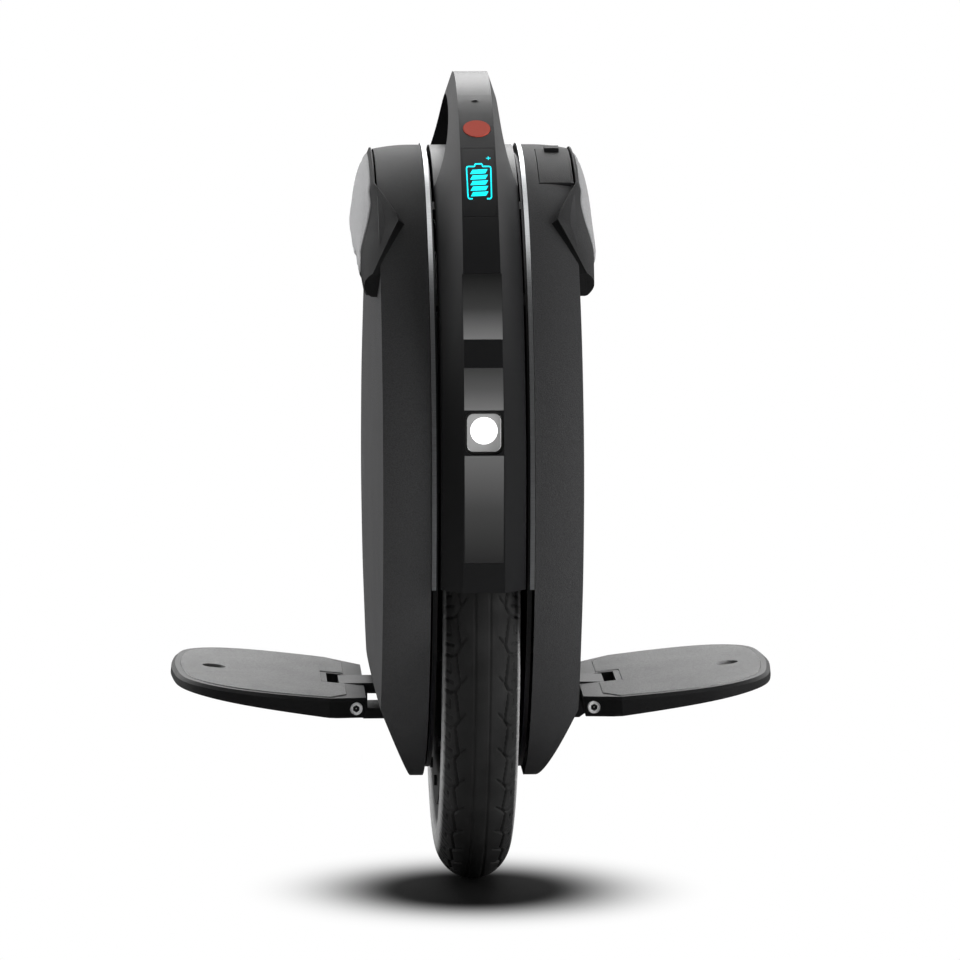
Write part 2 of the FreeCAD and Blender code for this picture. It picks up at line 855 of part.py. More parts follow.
def spine_solid():
    void = spine_form(spine_wall).cut(grip_hole(spine_wall))
    solid_grip = box(-spine_x, spine_x, -grip_half_length - grip_end_wall, grip_half_length + grip_end_wall,
                     grip_hole_height, spine_top + overrun)
    void = void.cut(solid_grip)
    reach = spine_x * 2
    core = cylinder_x(spine_inner_radius, -reach, reach, disc_height)
    return spine_form(0.0).cut([void, grip_hole(0.0), core, wheel_clearance()])


def front_half():
    far = spine_half_length + overrun
    return box(-spine_x * 2, spine_x * 2, -far, -grip_half_length, spine_bottom, spine_top + overrun)


def cover_lugs():
    lugs = []
    for angle in lug_angles:
        for side in (-1, 1):
            x_pair = sorted((side * (spine_x - spine_wall), side * frame_inner_x))
            lug = box(x_pair[0], x_pair[1], -lug_size / 2, lug_size / 2,
                      disc_height + spine_inner_radius - lug_size / 2, disc_height + frame_radius)
            lugs.append(turned_x(lug, 90.0 - angle, disc_height))
    return lugs


def spine_band(depth_low, depth_high, half_width, z_low, z_high):
    outer = ellipse_cylinder(spine_half_length - depth_low, spine_half_height - depth_low, -half_width, half_width,
                             disc_height)
    inner = ellipse_cylinder(spine_half_length - depth_high, spine_half_height - depth_high,
                             -half_width - overrun, half_width + overrun, disc_height)
    far = spine_half_length + overrun
    window = box(-half_width, half_width, -far, 0.0, z_low, z_high)
    return outer.cut(inner).common(window)


def spine_front_y(height, inset=0.0):
    share = (height - disc_height) / (spine_half_height - inset)
    return -(spine_half_length - inset) * math.sqrt(1.0 - share * share)


def spine_normal(height):
    y = spine_front_y(height)
    normal = V(0, y / spine_half_length ** 2, (height - disc_height) / spine_half_height ** 2)
    return normal.normalize()


def rounded_tile(width, tall, corner, y_low, y_high):
    tile = box(-width / 2, width / 2, y_low, y_high, lamp_height - tall / 2, lamp_height + tall / 2)
    long = (y_high - y_low) / 2
    edges = [edge for edge in tile.Edges if abs(edge.Vertexes[0].Y - edge.Vertexes[1].Y) > long]
    return tile.makeFillet(corner, edges)


def lamp_face_y():
    return spine_front_y(lamp_height + lamp_tall / 2)


def headlight_bezel():
    front = lamp_face_y()
    body = rounded_tile(lamp_width, lamp_tall, lamp_corner, front, front + lamp_depth)
    inner = rounded_tile(lamp_width - 2 * lamp_wall, lamp_tall - 2 * lamp_wall, lamp_corner - lamp_wall,
                         front - overrun, front + lamp_depth - lamp_wall)
    return body.cut(inner)


def headlight_lens():
    front = lamp_face_y() + lens_set_back
    size = 2 * lamp_wall + 2 * fastener_gap
    corner = lamp_corner - lamp_wall
    return rounded_tile(lamp_width - size, lamp_tall - size, corner, front, front + lens_thickness)


def headlight_lamp():
    back = lamp_face_y() + lamp_depth - lamp_wall
    front = lamp_face_y() + lens_set_back + lens_thickness + seat_gap
    size = 2 * lamp_wall + 2 * fastener_gap
    corner = lamp_corner - lamp_wall
    board = rounded_tile(lamp_width - size, lamp_tall - size, corner, back - board_thickness, back)
    return board.fuse(cylinder_y(led_radius, front, back - board_thickness, 0.0, lamp_height))


def along_normal(shape, height, depth):
    normal = spine_normal(height)
    angle = math.degrees(math.atan2(-normal.y, normal.z))
    copy = shape.copy()
    copy.rotate(V(0, 0, 0), V(1, 0, 0), angle)
    copy.translate(V(0, spine_front_y(height), height) - normal * depth)
    return copy


def button_solid(clear):
    cap = Part.makeCylinder(button_radius + clear, button_stem + button_proud + clear, V(0, 0, -button_stem))
    return cap


def power_button():
    cap = button_solid(0.0)
    flange = box(-button_flange_x / 2, button_flange_x / 2, -button_flange_along / 2, button_flange_along / 2,
                 -button_stem, button_flange - button_stem)
    return along_normal(cap.fuse(flange), button_height, 0.0)


def button_switch():
    top = button_stem + button_travel + slide_gap
    half = switch_size / 2
    body = box(-half, half, -half, half, -top - switch_height, -top)
    reach = spine_x
    plate = box(-reach, reach, -switch_board_along / 2, switch_board_along / 2,
                -top - switch_height - board_thickness, -top - switch_height)
    placed = along_normal(plate, button_height, 0.0).common(spine_form(spine_wall + seat_gap))
    return placed.fuse(along_normal(body, button_height, 0.0))


def display_window():
    return spine_band(0.0, panel_depth, display_half_width, display_bottom, display_top)


def display_board():
    half_width = display_half_width - display_board_inset
    front = spine_wall + running_gap
    return spine_band(front, front + board_thickness, half_width, display_bottom, display_top)


def panel_below_lamp():
    return lamp_height - lamp_tall / 2 - panel_lamp_gap


def panel_above_lamp():
    return lamp_height + lamp_tall / 2 + panel_lamp_gap


def lower_gloss_panel():
    return spine_band(0.0, panel_depth, panel_half_width, lower_panel_bottom, panel_below_lamp())


def middle_gloss_panel():
    return spine_band(0.0, panel_depth, panel_half_width, panel_above_lamp(), middle_panel_top)


def upper_gloss_panel():
    return spine_band(0.0, panel_depth, panel_half_width, upper_panel_bottom, upper_panel_top)


def front_cover():
    cover = spine_solid().common(front_half()).fuse(cover_lugs())
    front = lamp_face_y()
    lamp_hole = rounded_tile(lamp_width + 2 * seat_gap, lamp_tall + 2 * seat_gap, lamp_corner, front - overrun,
                             front + lamp_depth + seat_gap)
    cuts = [
        lamp_hole,
        along_normal(button_solid(slide_gap), button_height, 0.0),
        spine_band(-overrun, panel_depth, panel_half_width + seat_gap, lower_panel_bottom - seat_gap,
                   panel_below_lamp() + seat_gap),
        spine_band(-overrun, panel_depth, panel_half_width + seat_gap, panel_above_lamp() - seat_gap,
                   middle_panel_top + seat_gap),
        spine_band(-overrun, panel_depth, panel_half_width + seat_gap, upper_panel_bottom - seat_gap,
                   upper_panel_top + seat_gap),
        spine_band(-overrun, panel_depth, display_half_width + seat_gap, display_bottom - seat_gap,
                   display_top + seat_gap),
        grip_screw(grip_screw_radius + fastener_gap, grip_screw_head_radius),
    ]
    return cover.cut(cuts)


def to_rear(shape):
    return shape.mirror(V(0, 0, 0), V(0, 1, 0))


def rear_cover():
    cover = spine_solid().common(front_half()).fuse(cover_lugs())
    cuts = [
        spine_band(-overrun, tail_depth, tail_half_width + seat_gap, tail_bottom - seat_gap,
                   tail_top + seat_gap),
        grip_screw(grip_screw_radius + fastener_gap, grip_screw_head_radius),
    ]
    return to_rear(cover.cut(cuts))


def tail_light_lens():
    return to_rear(spine_band(0.0, tail_depth, tail_half_width, tail_bottom, tail_top))


def grip_screw(radius, head_radius):
    wall_y = -grip_half_length - grip_end_wall
    shank = cylinder_y(radius, wall_y, -grip_half_length + grip_screw_depth, 0.0, grip_screw_height)
    return shank.fuse(cylinder_y(head_radius, wall_y - grip_screw_head, wall_y, 0.0, grip_screw_height))


def grip_screws():
    front = grip_screw(grip_screw_radius, grip_screw_head_radius)
    return group([front, to_rear(front)])


def middle_slab(z_low, z_high):
    return box(-spine_x * 2, spine_x * 2, -grip_half_length, grip_half_length, z_low, z_high)


def lift_form(clear, travel):
    paddle = box(-lift_half_width - clear, lift_half_width + clear, -lift_half_length - clear,
                 lift_half_length + clear, lift_bottom, lift_bottom + lift_height + travel + clear)
    tab_low = lift_bottom + lift_height - lift_tab_height - clear
    tabs = box(-lift_half_width - clear, lift_half_width + clear, -lift_half_length - lift_tab - clear,
               lift_half_length + lift_tab + clear, tab_low, lift_bottom + lift_height + travel + clear)
    return paddle.fuse(tabs)


def handle_grip():
    bar = spine_solid().common(middle_slab(disc_height + disc_radius + spine_wall, spine_top + overrun))
    bores = grip_screw(grip_screw_radius + fastener_gap, grip_screw_head_radius)
    return bar.cut([lift_form(slide_gap, lift_travel), bores, to_rear(bores)])


def deck_cover():
    return spine_solid().common(middle_slab(disc_height, disc_height + disc_radius + spine_wall))


# Shoulder pods and leg pads

pod_stations = (
    (pod_sector_angle, pod_seam_foot_x, pod_seam_x, pod_seam_radius, pod_seam_low_radius, pod_crown_x),
    (pod_apex_angle, pod_apex_foot_x, pod_apex_x, pod_apex_radius, pod_apex_low_radius, pod_crown_x),
    (pod_end_angle, pod_end_foot_x, pod_end_x, pod_end_radius, pod_end_low_radius, pod_end_crown_x),
)


def pod_station(angle):
    first, last = pod_stations[:2] if angle <= pod_apex_angle else pod_stations[1:]
    share = max(0.0, (angle - first[0]) / (last[0] - first[0]))
    return [angle] + [a + (b - a) * share for a, b in zip(first[1:], last[1:])]


def pod_face(station, share):
    angle, foot_x, inner_x, top_radius, low_radius, crown_x = station
    radius = top_radius + (low_radius - top_radius) * share
    if share < pod_crown_share:
        climb = 1 - (1 - share / pod_crown_share) ** pod_rise_power
        return inner_x + (crown_x - inner_x) * climb, radius
    fall = (share - pod_crown_share) / (1 - pod_crown_share)
    return crown_x - pod_fall * fall * fall, radius


def station_wire(angle, outline):
    corners = [disc_point(angle, radius, x) for x, radius in outline]
    return Part.makePolygon(corners + corners[:1])


def pod_section(angle):
    station = pod_station(angle)
    angle, foot_x, inner_x, top_radius, low_radius, crown_x = station
    outline = [(foot_x, low_radius), (foot_x, pod_foot_radius), (inner_x, top_radius)]
    outline += [pod_face(station, share) for share in pod_face_shares]
    return station_wire(angle, outline)


def swept_band(wire, angle, tip):
    band = Part.Face(wire).revolve(V(0, 0, disc_height), V(1, 0, 0), -2 * angle)
    return band.fuse([tip, to_rear(tip)])


def pod_form():
    angles = [pod_sector_angle]
    for low, high in ((pod_sector_angle, pod_apex_angle), (pod_apex_angle, pod_end_angle)):
        angles += [low + (high - low) * (step + 1) / pod_tooth_steps for step in range(pod_tooth_steps)]
    tooth = Part.makeLoft([pod_section(angle) for angle in angles], True, True)
    return swept_band(pod_section(pod_sector_angle), pod_sector_angle, tooth)


def side_pod():
    return pod_form().cut(disc_solid(-seat_gap, 0.0))


def pad_section(angle, high_share, low_share, swell_share):
    station = pod_station(angle)
    outline = []
    for across, lift in pad_lift_shares:
        x, radius = pod_face(station, high_share + (low_share - high_share) * across)
        outline.append((x + pad_thickness * lift * swell_share, radius))
    roots = [(x - pad_root - pad_thickness, radius) for x, radius in (outline[-1], outline[0])]
    return station_wire(angle, outline + roots)


def leg_pad():
    sections = [pad_section(angle, *shares) for angle, shares in zip(pad_tip_angles, pad_tip_shares)]
    tip = Part.makeLoft(sections, True, True)
    return swept_band(sections[0], pad_sweep_angle, tip).cut(pod_form())


# Charge port

def rim_patch(angle_low, angle_high, x_low, x_high, radius_low, radius_high):
    ring = ring_x(radius_low, radius_high, x_low, x_high, disc_height)
    return ring.common(sector(angle_low, angle_high, x_low - overrun, x_high + overrun, disc_radius))


def flap_pin_place():
    return disc_point(flap_low_angle, disc_radius - flap_thickness / 2, 0.0)


def charge_flap():
    inner = disc_radius - flap_thickness
    plate = rim_patch(flap_high_angle, flap_low_angle, flap_low_x, flap_high_x, inner, disc_radius)
    tab_middle = (flap_low_x + flap_high_x) / 2
    tab_turn = math.degrees(flap_tab_length / disc_radius)
    tab = rim_patch(flap_high_angle, flap_high_angle + tab_turn, tab_middle - flap_tab_width / 2,
                    tab_middle + flap_tab_width / 2, inner, disc_radius + flap_tab_height)
    place = flap_pin_place()
    barrel = cylinder_x(flap_thickness / 2, flap_low_x, flap_high_x, place.z, place.y)
    bore_radius = flap_pin_radius + running_gap
    bore = cylinder_x(bore_radius, flap_low_x - overrun, flap_high_x + overrun, place.z, place.y)
    return plate.fuse([tab, barrel]).cut(bore).removeSplitter()


def flap_pin():
    place = flap_pin_place()
    return cylinder_x(flap_pin_radius, flap_low_x - port_boss_margin / 2, flap_high_x + port_boss_margin / 2,
                      place.z, place.y)


def socket_turned(shape):
    return turned_x(shape, socket_angle, disc_height)


def socket_seat():
    return disc_height + disc_radius - flap_thickness - flap_gap


def socket_x():
    return (flap_low_x + flap_high_x) / 2


def upright(radius, z_low, z_high, x):
    return Part.makeCylinder(radius, z_high - z_low, V(x, 0, z_low))


def socket_cut():
    seat = socket_seat()
    body = upright(socket_radius + fastener_gap, seat - socket_length, seat, socket_x())
    flange = upright(socket_flange_radius + fastener_gap, seat - socket_flange, seat + overrun, socket_x())
    top = seat - port_boss_depth + socket_nut_room
    nut_face = upright(socket_nut_radius + socket_nut_room, top - overrun, top, socket_x())
    return socket_turned(body.fuse([flange, nut_face]))


def charge_socket():
    seat = socket_seat()
    body = upright(socket_radius, seat - socket_length, seat, socket_x())
    flange = upright(socket_flange_radius, seat - socket_flange, seat, socket_x())
    bore = upright(socket_bore_radius, seat - socket_bore_depth, seat + overrun, socket_x())
    solid = body.fuse(flange).cut(bore)
    floor = seat - socket_bore_depth
    for step in range(contact_count):
        turn = 2 * math.pi * step / contact_count
        x = socket_x() + contact_circle * math.cos(turn)
        y = contact_circle * math.sin(turn)
        solid = solid.cut(Part.makeCylinder(contact_radius, contact_depth, V(x, y, floor - contact_depth)))
    return socket_turned(solid)


def socket_nut():
    top = socket_seat() - port_boss_depth + socket_nut_room
    outer = upright(socket_nut_radius, top - socket_nut_height, top, socket_x())
    flats = []
    for step in range(3):
        block = box(-socket_nut_radius * 2, socket_nut_radius * 2, -socket_nut_radius * math.cos(math.pi / 6),
                    socket_nut_radius * math.cos(math.pi / 6), top - socket_nut_height, top)
        block.rotate(V(0, 0, 0), V(0, 0, 1), 60.0 * step)
        block.translate(V(socket_x(), 0, 0))
        flats.append(block)
    hexagon = outer.common(flats[0]).common(flats[1]).common(flats[2])
    hole = upright(socket_radius + fastener_gap, top - socket_nut_height - overrun, top + overrun, socket_x())
    return socket_turned(hexagon.cut(hole))


def right_shell_with_port(shell):
    seat_radius = disc_radius - flap_thickness - flap_gap
    edge_turn = math.degrees(port_boss_margin / disc_radius)
    boss = rim_patch(flap_high_angle - edge_turn, flap_low_angle + 2 * edge_turn, flap_low_x - port_boss_margin,
                     flap_high_x + port_boss_margin, seat_radius - port_boss_depth, seat_radius)
    boss = boss.common(disc_solid(shell_wall / 2, disc_inner_x))
    gap_turn = math.degrees(flap_gap / disc_radius)
    hinge_turn = math.degrees((flap_thickness / 2 + flap_gap) / disc_radius)
    pocket = rim_patch(flap_high_angle - gap_turn, flap_low_angle + hinge_turn, flap_low_x - flap_gap,
                       flap_high_x + flap_gap, seat_radius, disc_radius + overrun)
    place = flap_pin_place()
    pin_bore = cylinder_x(flap_pin_radius + seat_gap / 2, flap_low_x - port_boss_margin / 2 - seat_gap,
                          flap_high_x + port_boss_margin / 2 + seat_gap, place.z, place.y)
    barrel_room = cylinder_x(flap_thickness / 2 + flap_gap, flap_low_x - flap_gap, flap_high_x + flap_gap,
                             place.z, place.y)
    return shell.fuse(boss).cut([pocket, pin_bore, barrel_room, socket_cut()])


# Pedal hangers and pedals

def hanger_bolt_spots():
    spots = []
    for drop in hanger_bolt_drops:
        for side in (-1, 1):
            spots.append((side * hanger_bolt_half_pitch, axle_height - drop))
    return spots


def pedal_hanger():
    outer_x = hanger_inner_x + hanger_thickness
    plate = box(hanger_inner_x, outer_x, -hanger_half_width, hanger_half_width, arm_bottom, hanger_top)
    pad = box(frame_outer_x, hanger_inner_x, -hanger_half_width, hanger_half_width, leg_top, hanger_top)
    arm = prism_y([(hanger_inner_x, arm_bottom), (arm_foot_x, arm_bottom), (arm_chin_x, arm_chin_height),
                   (arm_end_x, arm_nose_height), (arm_end_x, arm_top), (hanger_inner_x, arm_top)],
                  -arm_half_width, arm_half_width)
    window = box(arm_window_x, arm_window_x + arm_window_width, -arm_half_width - overrun, arm_half_width + overrun,
                 arm_window_bottom, arm_window_bottom + arm_window_height)
    cuts = [
        window,
        cylinder_x(axle_radius + running_gap, 0.0, dome_x, axle_height),
        cylinder_x(frame_hub_hole - hanger_thickness / 2, 0.0, hanger_inner_x, axle_height),
        cylinder_y(pin_radius + running_gap, -arm_half_width - overrun, arm_half_width + overrun, hinge_x, hinge_height),
    ]
    for y, z in hanger_bolt_spots():
        cuts.append(cylinder_x(hanger_bolt_radius + fastener_gap, 0.0, dome_x, z, y))
    return plate.fuse([pad, arm]).cut(cuts).removeSplitter()


def hanger_bolts():
    right = []
    seat = hanger_inner_x + hanger_thickness
    for y, z in hanger_bolt_spots():
        shank = cylinder_x(hanger_bolt_radius, frame_inner_x + seat_gap, seat, z, y)
        right.append(shank.fuse(cylinder_x(hanger_bolt_head_radius, seat, seat + hanger_bolt_head, z, y)))
    return group(right + [mirrored(bolt) for bolt in right])


def axle_nuts():
    seat = hanger_inner_x + hanger_thickness
    nut = hexagon_x(nut_radius, seat, seat + nut_height, axle_height)
    nut = nut.cut(cylinder_x(axle_radius + running_gap, 0.0, dome_x, axle_height))
    return group([nut, mirrored(nut)])


def pedal_place(shape):
    copy = shape.copy()
    copy.rotate(V(0, 0, 0), V(0, 1, 0), -pedal_rise_angle)
    copy.translate(V(hinge_x, 0, hinge_height))
    return copy


def pedal_outline(inset, back, level):
    reach = pedal_reach - inset
    half = pedal_half_length - inset
    back_half = pedal_back_half_length - inset
    shoulder = pedal_shoulder_half_length - inset
    start = V(pedal_shoulder_reach, shoulder, level)
    side = [V(reach * along, half * across, level) for along, across in pedal_outline_shares]
    tip = V(reach, 0, level)
    other = [V(p.x, -p.y, level) for p in reversed(side)]
    end = V(pedal_shoulder_reach, -shoulder, level)
    curve = Part.BSplineCurve()
    curve.interpolate([start] + side + [tip] + other + [end])
    back_line = Part.makePolygon([end, V(-back, -back_half, level), V(-back, back_half, level), start])
    return Part.Face(Part.Wire([curve.toShape()] + back_line.Edges))


def pedal_notch(margin):
    half = arm_half_width + pedal_notch_gap + margin
    low = -pedal_bottom - overrun
    return box(-pedal_back - overrun, pedal_notch_reach + margin, -half, half, low, pedal_top + overrun)


def pad_well():
    outline = pedal_outline(pad_inset, pad_back, pedal_top - pad_set_in)
    return outline.extrude(V(0, 0, pad_set_in + overrun)).cut(pedal_notch(pad_notch_margin))


def pedal_plate():
    plate = pedal_outline(0.0, pedal_back, -pedal_bottom).extrude(V(0, 0, pedal_bottom + pedal_top))
    rim_edges = []
    for edge in plate.Edges:
        heights = [vertex.Z for vertex in edge.Vertexes]
        depths = [vertex.X for vertex in edge.Vertexes]
        if min(heights) > 0 and max(depths) > 0:
            rim_edges.append(edge)
    plate = plate.makeChamfer(pedal_bevel, rim_edges)
    far = pedal_half_length + overrun
    taper = prism_y([(pedal_taper_start, -pedal_bottom), (pedal_reach + pedal_taper_start, pedal_tip_bottom),
                     (pedal_reach + pedal_taper_start, -pedal_bottom - overrun), (pedal_taper_start, -pedal_bottom - overrun)],
                    -far, far)
    bore = cylinder_y(pin_radius + running_gap, -far, far, 0.0, 0.0)
    magnet = hold_magnet_solid(fastener_gap)
    return pedal_place(plate.cut([taper, pedal_notch(0.0), pad_well(), bore, magnet]))


def hold_magnet_solid(clear):
    low = pedal_top - pad_set_in - hold_magnet_height - clear
    place = V(hold_magnet_reach, 0, low)
    return Part.makeCylinder(hold_magnet_radius + clear, hold_magnet_height + clear, place)


def grip_pad():
    outline = pedal_outline(pad_inset + seat_gap, pad_back - seat_gap, pedal_top - pad_set_in)
    pad = outline.extrude(V(0, 0, pad_set_in + pad_proud)).cut(pedal_notch(pad_notch_margin + seat_gap))
    hole = Part.makeCylinder(hold_magnet_radius, overrun, V(hold_magnet_reach, 0, 0.0))
    return pedal_place(pad.cut(hole))


def hold_magnet():
    return pedal_place(hold_magnet_solid(0.0))


def pin_half_length():
    share = pedal_back / (pedal_back + pedal_shoulder_reach)
    return pedal_back_half_length + (pedal_shoulder_half_length - pedal_back_half_length) * share


def hinge_pin():
    half = pin_half_length()
    pin = cylinder_y(pin_radius, -half, half, 0.0, 0.0)
    for side in (-1, 1):
        y_pair = sorted((side * half, side * (half - pin_socket_depth)))
        points = []
        for step in range(6):
            turn = math.radians(60 * step)
            points.append((pin_socket_radius * math.cos(turn), pin_socket_radius * math.sin(turn)))
        pin = pin.cut(prism_y(points, y_pair[0], y_pair[1]))
    return pedal_place(pin)


# Assembly

shell = side_shell()
nodes["left_shell"] = mirrored(shell)
nodes["right_shell"] = right_shell_with_port(shell)
both_sides("pod", side_pod())
both_sides("leg_pad", leg_pad())
both_sides("trim_strip", trim_strip())
both_sides("side_frame", side_frame())
both_sides("battery_pack", battery_pack())
both_sides("pedal_hanger", pedal_hanger())
both_sides("pedal_plate", pedal_plate())
both_sides("grip_pad", grip_pad())
both_sides("hinge_pin", hinge_pin())
both_sides("hold_magnet", hold_magnet())
cover = motor_cover()
screw_holes = cover_screw_set(cover_screw_radius + fastener_gap, cover_screw_radius + fastener_gap)
nodes["left_motor_cover"] = mirrored(cover).cut(screw_holes)
nodes["right_motor_cover"] = cover.cut(screw_holes + [valve_solid(valve_radius + fastener_gap)])
nodes["cover_screws"] = group(cover_screw_set(cover_screw_radius, cover_screw_head_radius))
nodes["tyre"] = tyre()
nodes["inner_tube"] = inner_tube()
nodes["rim"] = rim_with_rotor()
nodes["valve_stem"] = valve_stem()
nodes["magnet_ring"] = magnet_ring()
bearing = hub_bearing()
nodes["hub_bearings"] = group([bearing, mirrored(bearing)])
nodes["stator_core"] = stator_core()
nodes["stator_windings"] = stator_windings()
nodes["axle"] = axle()
nodes["axle_nuts"] = axle_nuts()
nodes["hanger_bolts"] = hanger_bolts()
nodes["shell_screws"] = shell_screws()
nodes["wheel_arch"] = wheel_arch()
nodes["heat_sink"] = heat_sink()
nodes["control_board"] = control_board()
nodes["front_cover"] = front_cover()
nodes["rear_cover"] = rear_cover()
nodes["deck_cover"] = deck_cover()
nodes["handle_grip"] = handle_grip()
nodes["grip_screws"] = grip_screws()
nodes["lift_paddle"] = lift_form(0.0, 0.0)
nodes["upper_gloss_panel"] = upper_gloss_panel()
nodes["middle_gloss_panel"] = middle_gloss_panel()
nodes["lower_gloss_panel"] = lower_gloss_panel()
nodes["headlight_bezel"] = headlight_bezel()
nodes["headlight_lens"] = headlight_lens()
nodes["headlight_lamp"] = headlight_lamp()
nodes["tail_light_lens"] = tail_light_lens()
nodes["display_window"] = display_window()
nodes["display_board"] = display_board()
nodes["power_button"] = power_button()
nodes["button_switch"] = button_switch()
nodes["charge_flap"] = charge_flap()
nodes["flap_pin"] = flap_pin()
nodes["charge_socket"] = group([charge_socket(), socket_nut()])

for name, shape in nodes.items():
    shape.exportStep("parts/" + name + ".step")
    print(name, len(shape.Solids), shape.isValid(), round(shape.Volume))
print(len(nodes), "nodes")
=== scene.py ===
import json
import math

import bmesh
import bpy
import numpy as np
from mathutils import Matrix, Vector

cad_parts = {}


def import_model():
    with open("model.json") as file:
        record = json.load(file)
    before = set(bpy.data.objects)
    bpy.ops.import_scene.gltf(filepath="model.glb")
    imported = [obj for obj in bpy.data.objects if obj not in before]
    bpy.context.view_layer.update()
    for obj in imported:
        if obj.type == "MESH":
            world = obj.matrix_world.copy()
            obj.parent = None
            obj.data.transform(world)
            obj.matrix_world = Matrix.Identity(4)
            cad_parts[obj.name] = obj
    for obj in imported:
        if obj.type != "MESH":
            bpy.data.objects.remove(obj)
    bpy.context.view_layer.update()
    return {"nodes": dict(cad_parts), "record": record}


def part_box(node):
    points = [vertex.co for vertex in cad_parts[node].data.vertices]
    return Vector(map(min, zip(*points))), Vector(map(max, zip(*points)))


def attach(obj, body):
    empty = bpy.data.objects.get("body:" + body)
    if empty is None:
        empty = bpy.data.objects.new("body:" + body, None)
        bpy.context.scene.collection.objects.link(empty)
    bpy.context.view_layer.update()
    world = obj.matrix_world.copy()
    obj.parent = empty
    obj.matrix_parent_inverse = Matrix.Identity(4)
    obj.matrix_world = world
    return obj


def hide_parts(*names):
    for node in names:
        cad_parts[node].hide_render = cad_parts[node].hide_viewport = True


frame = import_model()
nodes = frame["nodes"]
MM = 0.001

# Sizes taken from the solids, in millimetres and degrees; the first POD_TOP is 1.4 lower than theirs
AXLE = 205.0
TYRE_RADIUS = 205.0
TYRE_HALF_WIDTH = 25.5
TYRE_MIDDLE = 178.0
DISC_Z = 280.0
SPINE_A = 222.0
SPINE_B = 259.0
POD_ANGLES = (22.0, 35.4, 46.8)
POD_FOOT_X = (65.5, 43.0, 58.0)
POD_SEAM_X = (66.5, 52.0, 69.5)
POD_TOP = (208.4, 213.5, 207.0)
POD_LOW = (125.0, 153.0, 182.0)
POD_CROWN = (76.3, 76.3, 74.8)
POD_FOOT = 205.0
POD_FALL = 4.6
POD_CROWN_SHARE = 0.5
POD_RISE_POWER = 2.2
PAD_ANGLES = (20.0, 26.0, 31.0, 35.0, 37.5)
PAD_HIGH = (0.05, 0.12, 0.23, 0.35, 0.46)
PAD_LOW = (0.8, 0.78, 0.73, 0.66, 0.57)
PAD_SWELL = (1.0, 1.0, 0.96, 0.85, 0.5)


# Node helpers

def new_material(name):
    material = bpy.data.materials.new(name)
    material.use_nodes = True
    tree = material.node_tree
    return material, tree, tree.nodes["Principled BSDF"]


def add(tree, kind, **values):
    node = tree.nodes.new(kind)
    for key, value in values.items():
        setattr(node, key, value)
    return node


def object_coords(tree):
    return add(tree, "ShaderNodeTexCoord").outputs["Object"]


def noise(tree, scale, detail=4.0, rough=0.55, coords=None):
    node = add(tree, "ShaderNodeTexNoise")
    node.inputs["Scale"].default_value = scale
    node.inputs["Detail"].default_value = detail
    node.inputs["Roughness"].default_value = rough
    tree.links.new(coords or object_coords(tree), node.inputs["Vector"])
    return node.outputs["Fac"]


def cells(tree, scale, output="Distance"):
    node = add(tree, "ShaderNodeTexVoronoi", feature="F1")
    node.inputs["Scale"].default_value = scale
    tree.links.new(object_coords(tree), node.inputs["Vector"])
    return node.outputs[output]


def along_axis(tree, axis, coords=None):
    split = add(tree, "ShaderNodeSeparateXYZ")
    tree.links.new(coords or object_coords(tree), split.inputs["Vector"])
    return split.outputs[axis]


def product(tree, first, second):
    node = add(tree, "ShaderNodeMath", operation="MULTIPLY")
    tree.links.new(first, node.inputs[0])
    tree.links.new(second, node.inputs[1])
    return node.outputs[0]


def ramp(tree, source, stops):
    node = add(tree, "ShaderNodeValToRGB")
    band = node.color_ramp
    while len(band.elements) < len(stops):
        band.elements.new(0.5)
    for element, (place, colour) in zip(band.elements, stops):
        element.position = place
        element.color = (*colour, 1.0)
    tree.links.new(source, node.inputs["Fac"])
    return node.outputs["Color"]


def mottle(tree, source, dark, light):
    """Noise turned into two tones, over the middle of its range where it mostly lies."""
    return ramp(tree, source, ((0.3, dark), (0.7, light)))


def spread(tree, source, low, high, from_low=0.0, from_high=1.0):
    node = add(tree, "ShaderNodeMapRange")
    node.inputs["From Min"].default_value = from_low
    node.inputs["From Max"].default_value = from_high
    node.inputs["To Min"].default_value = low
    node.inputs["To Max"].default_value = high
    tree.links.new(source, node.inputs["Value"])
    return node.outputs["Result"]


def bump(tree, shader, source, strength, depth, under=None):
    node = add(tree, "ShaderNodeBump")
    node.inputs["Strength"].default_value = strength
    node.inputs["Distance"].default_value = depth
    tree.links.new(source, node.inputs["Height"])
    if under is not None:
        tree.links.new(under, node.inputs["Normal"])
    tree.links.new(node.outputs["Normal"], shader.inputs["Normal"])
    return node.outputs["Normal"]


def shade(colour, share):
    return tuple(min(1.0, value * share) for value in colour)


def grey(value):
    return (value, value, value)


# Materials, with sizes in metres
# Across the tyre, where the dark tread's tone turns to the sidewall's painted light.
WALL_TONE_X = (0.0228, 0.0246)


def moulded(name, colour, rough, grain, depth, speck=0.25, metallic=0.0, coat=0.0, shine=0.5):
    """Moulded or painted surface: fine grain, patchy roughness and light speckle."""
    material, tree, shader = new_material(name)
    fine = noise(tree, grain, 3.0, 0.6)
    broad = noise(tree, 14.0, 3.0, 0.5)
    colours = mottle(tree, fine, shade(colour, 1 - speck), shade(colour, 1 + speck))
    tree.links.new(colours, shader.inputs["Base Color"])
    tree.links.new(spread(tree, broad, rough - 0.06, rough + 0.06), shader.inputs["Roughness"])
    shader.inputs["Metallic"].default_value = metallic
    shader.inputs["Specular IOR Level"].default_value = shine
    if coat:
        shader.inputs["Coat Weight"].default_value = coat
        shader.inputs["Coat Roughness"].default_value = 0.08
    bump(tree, shader, fine, 0.6, depth)
    return material


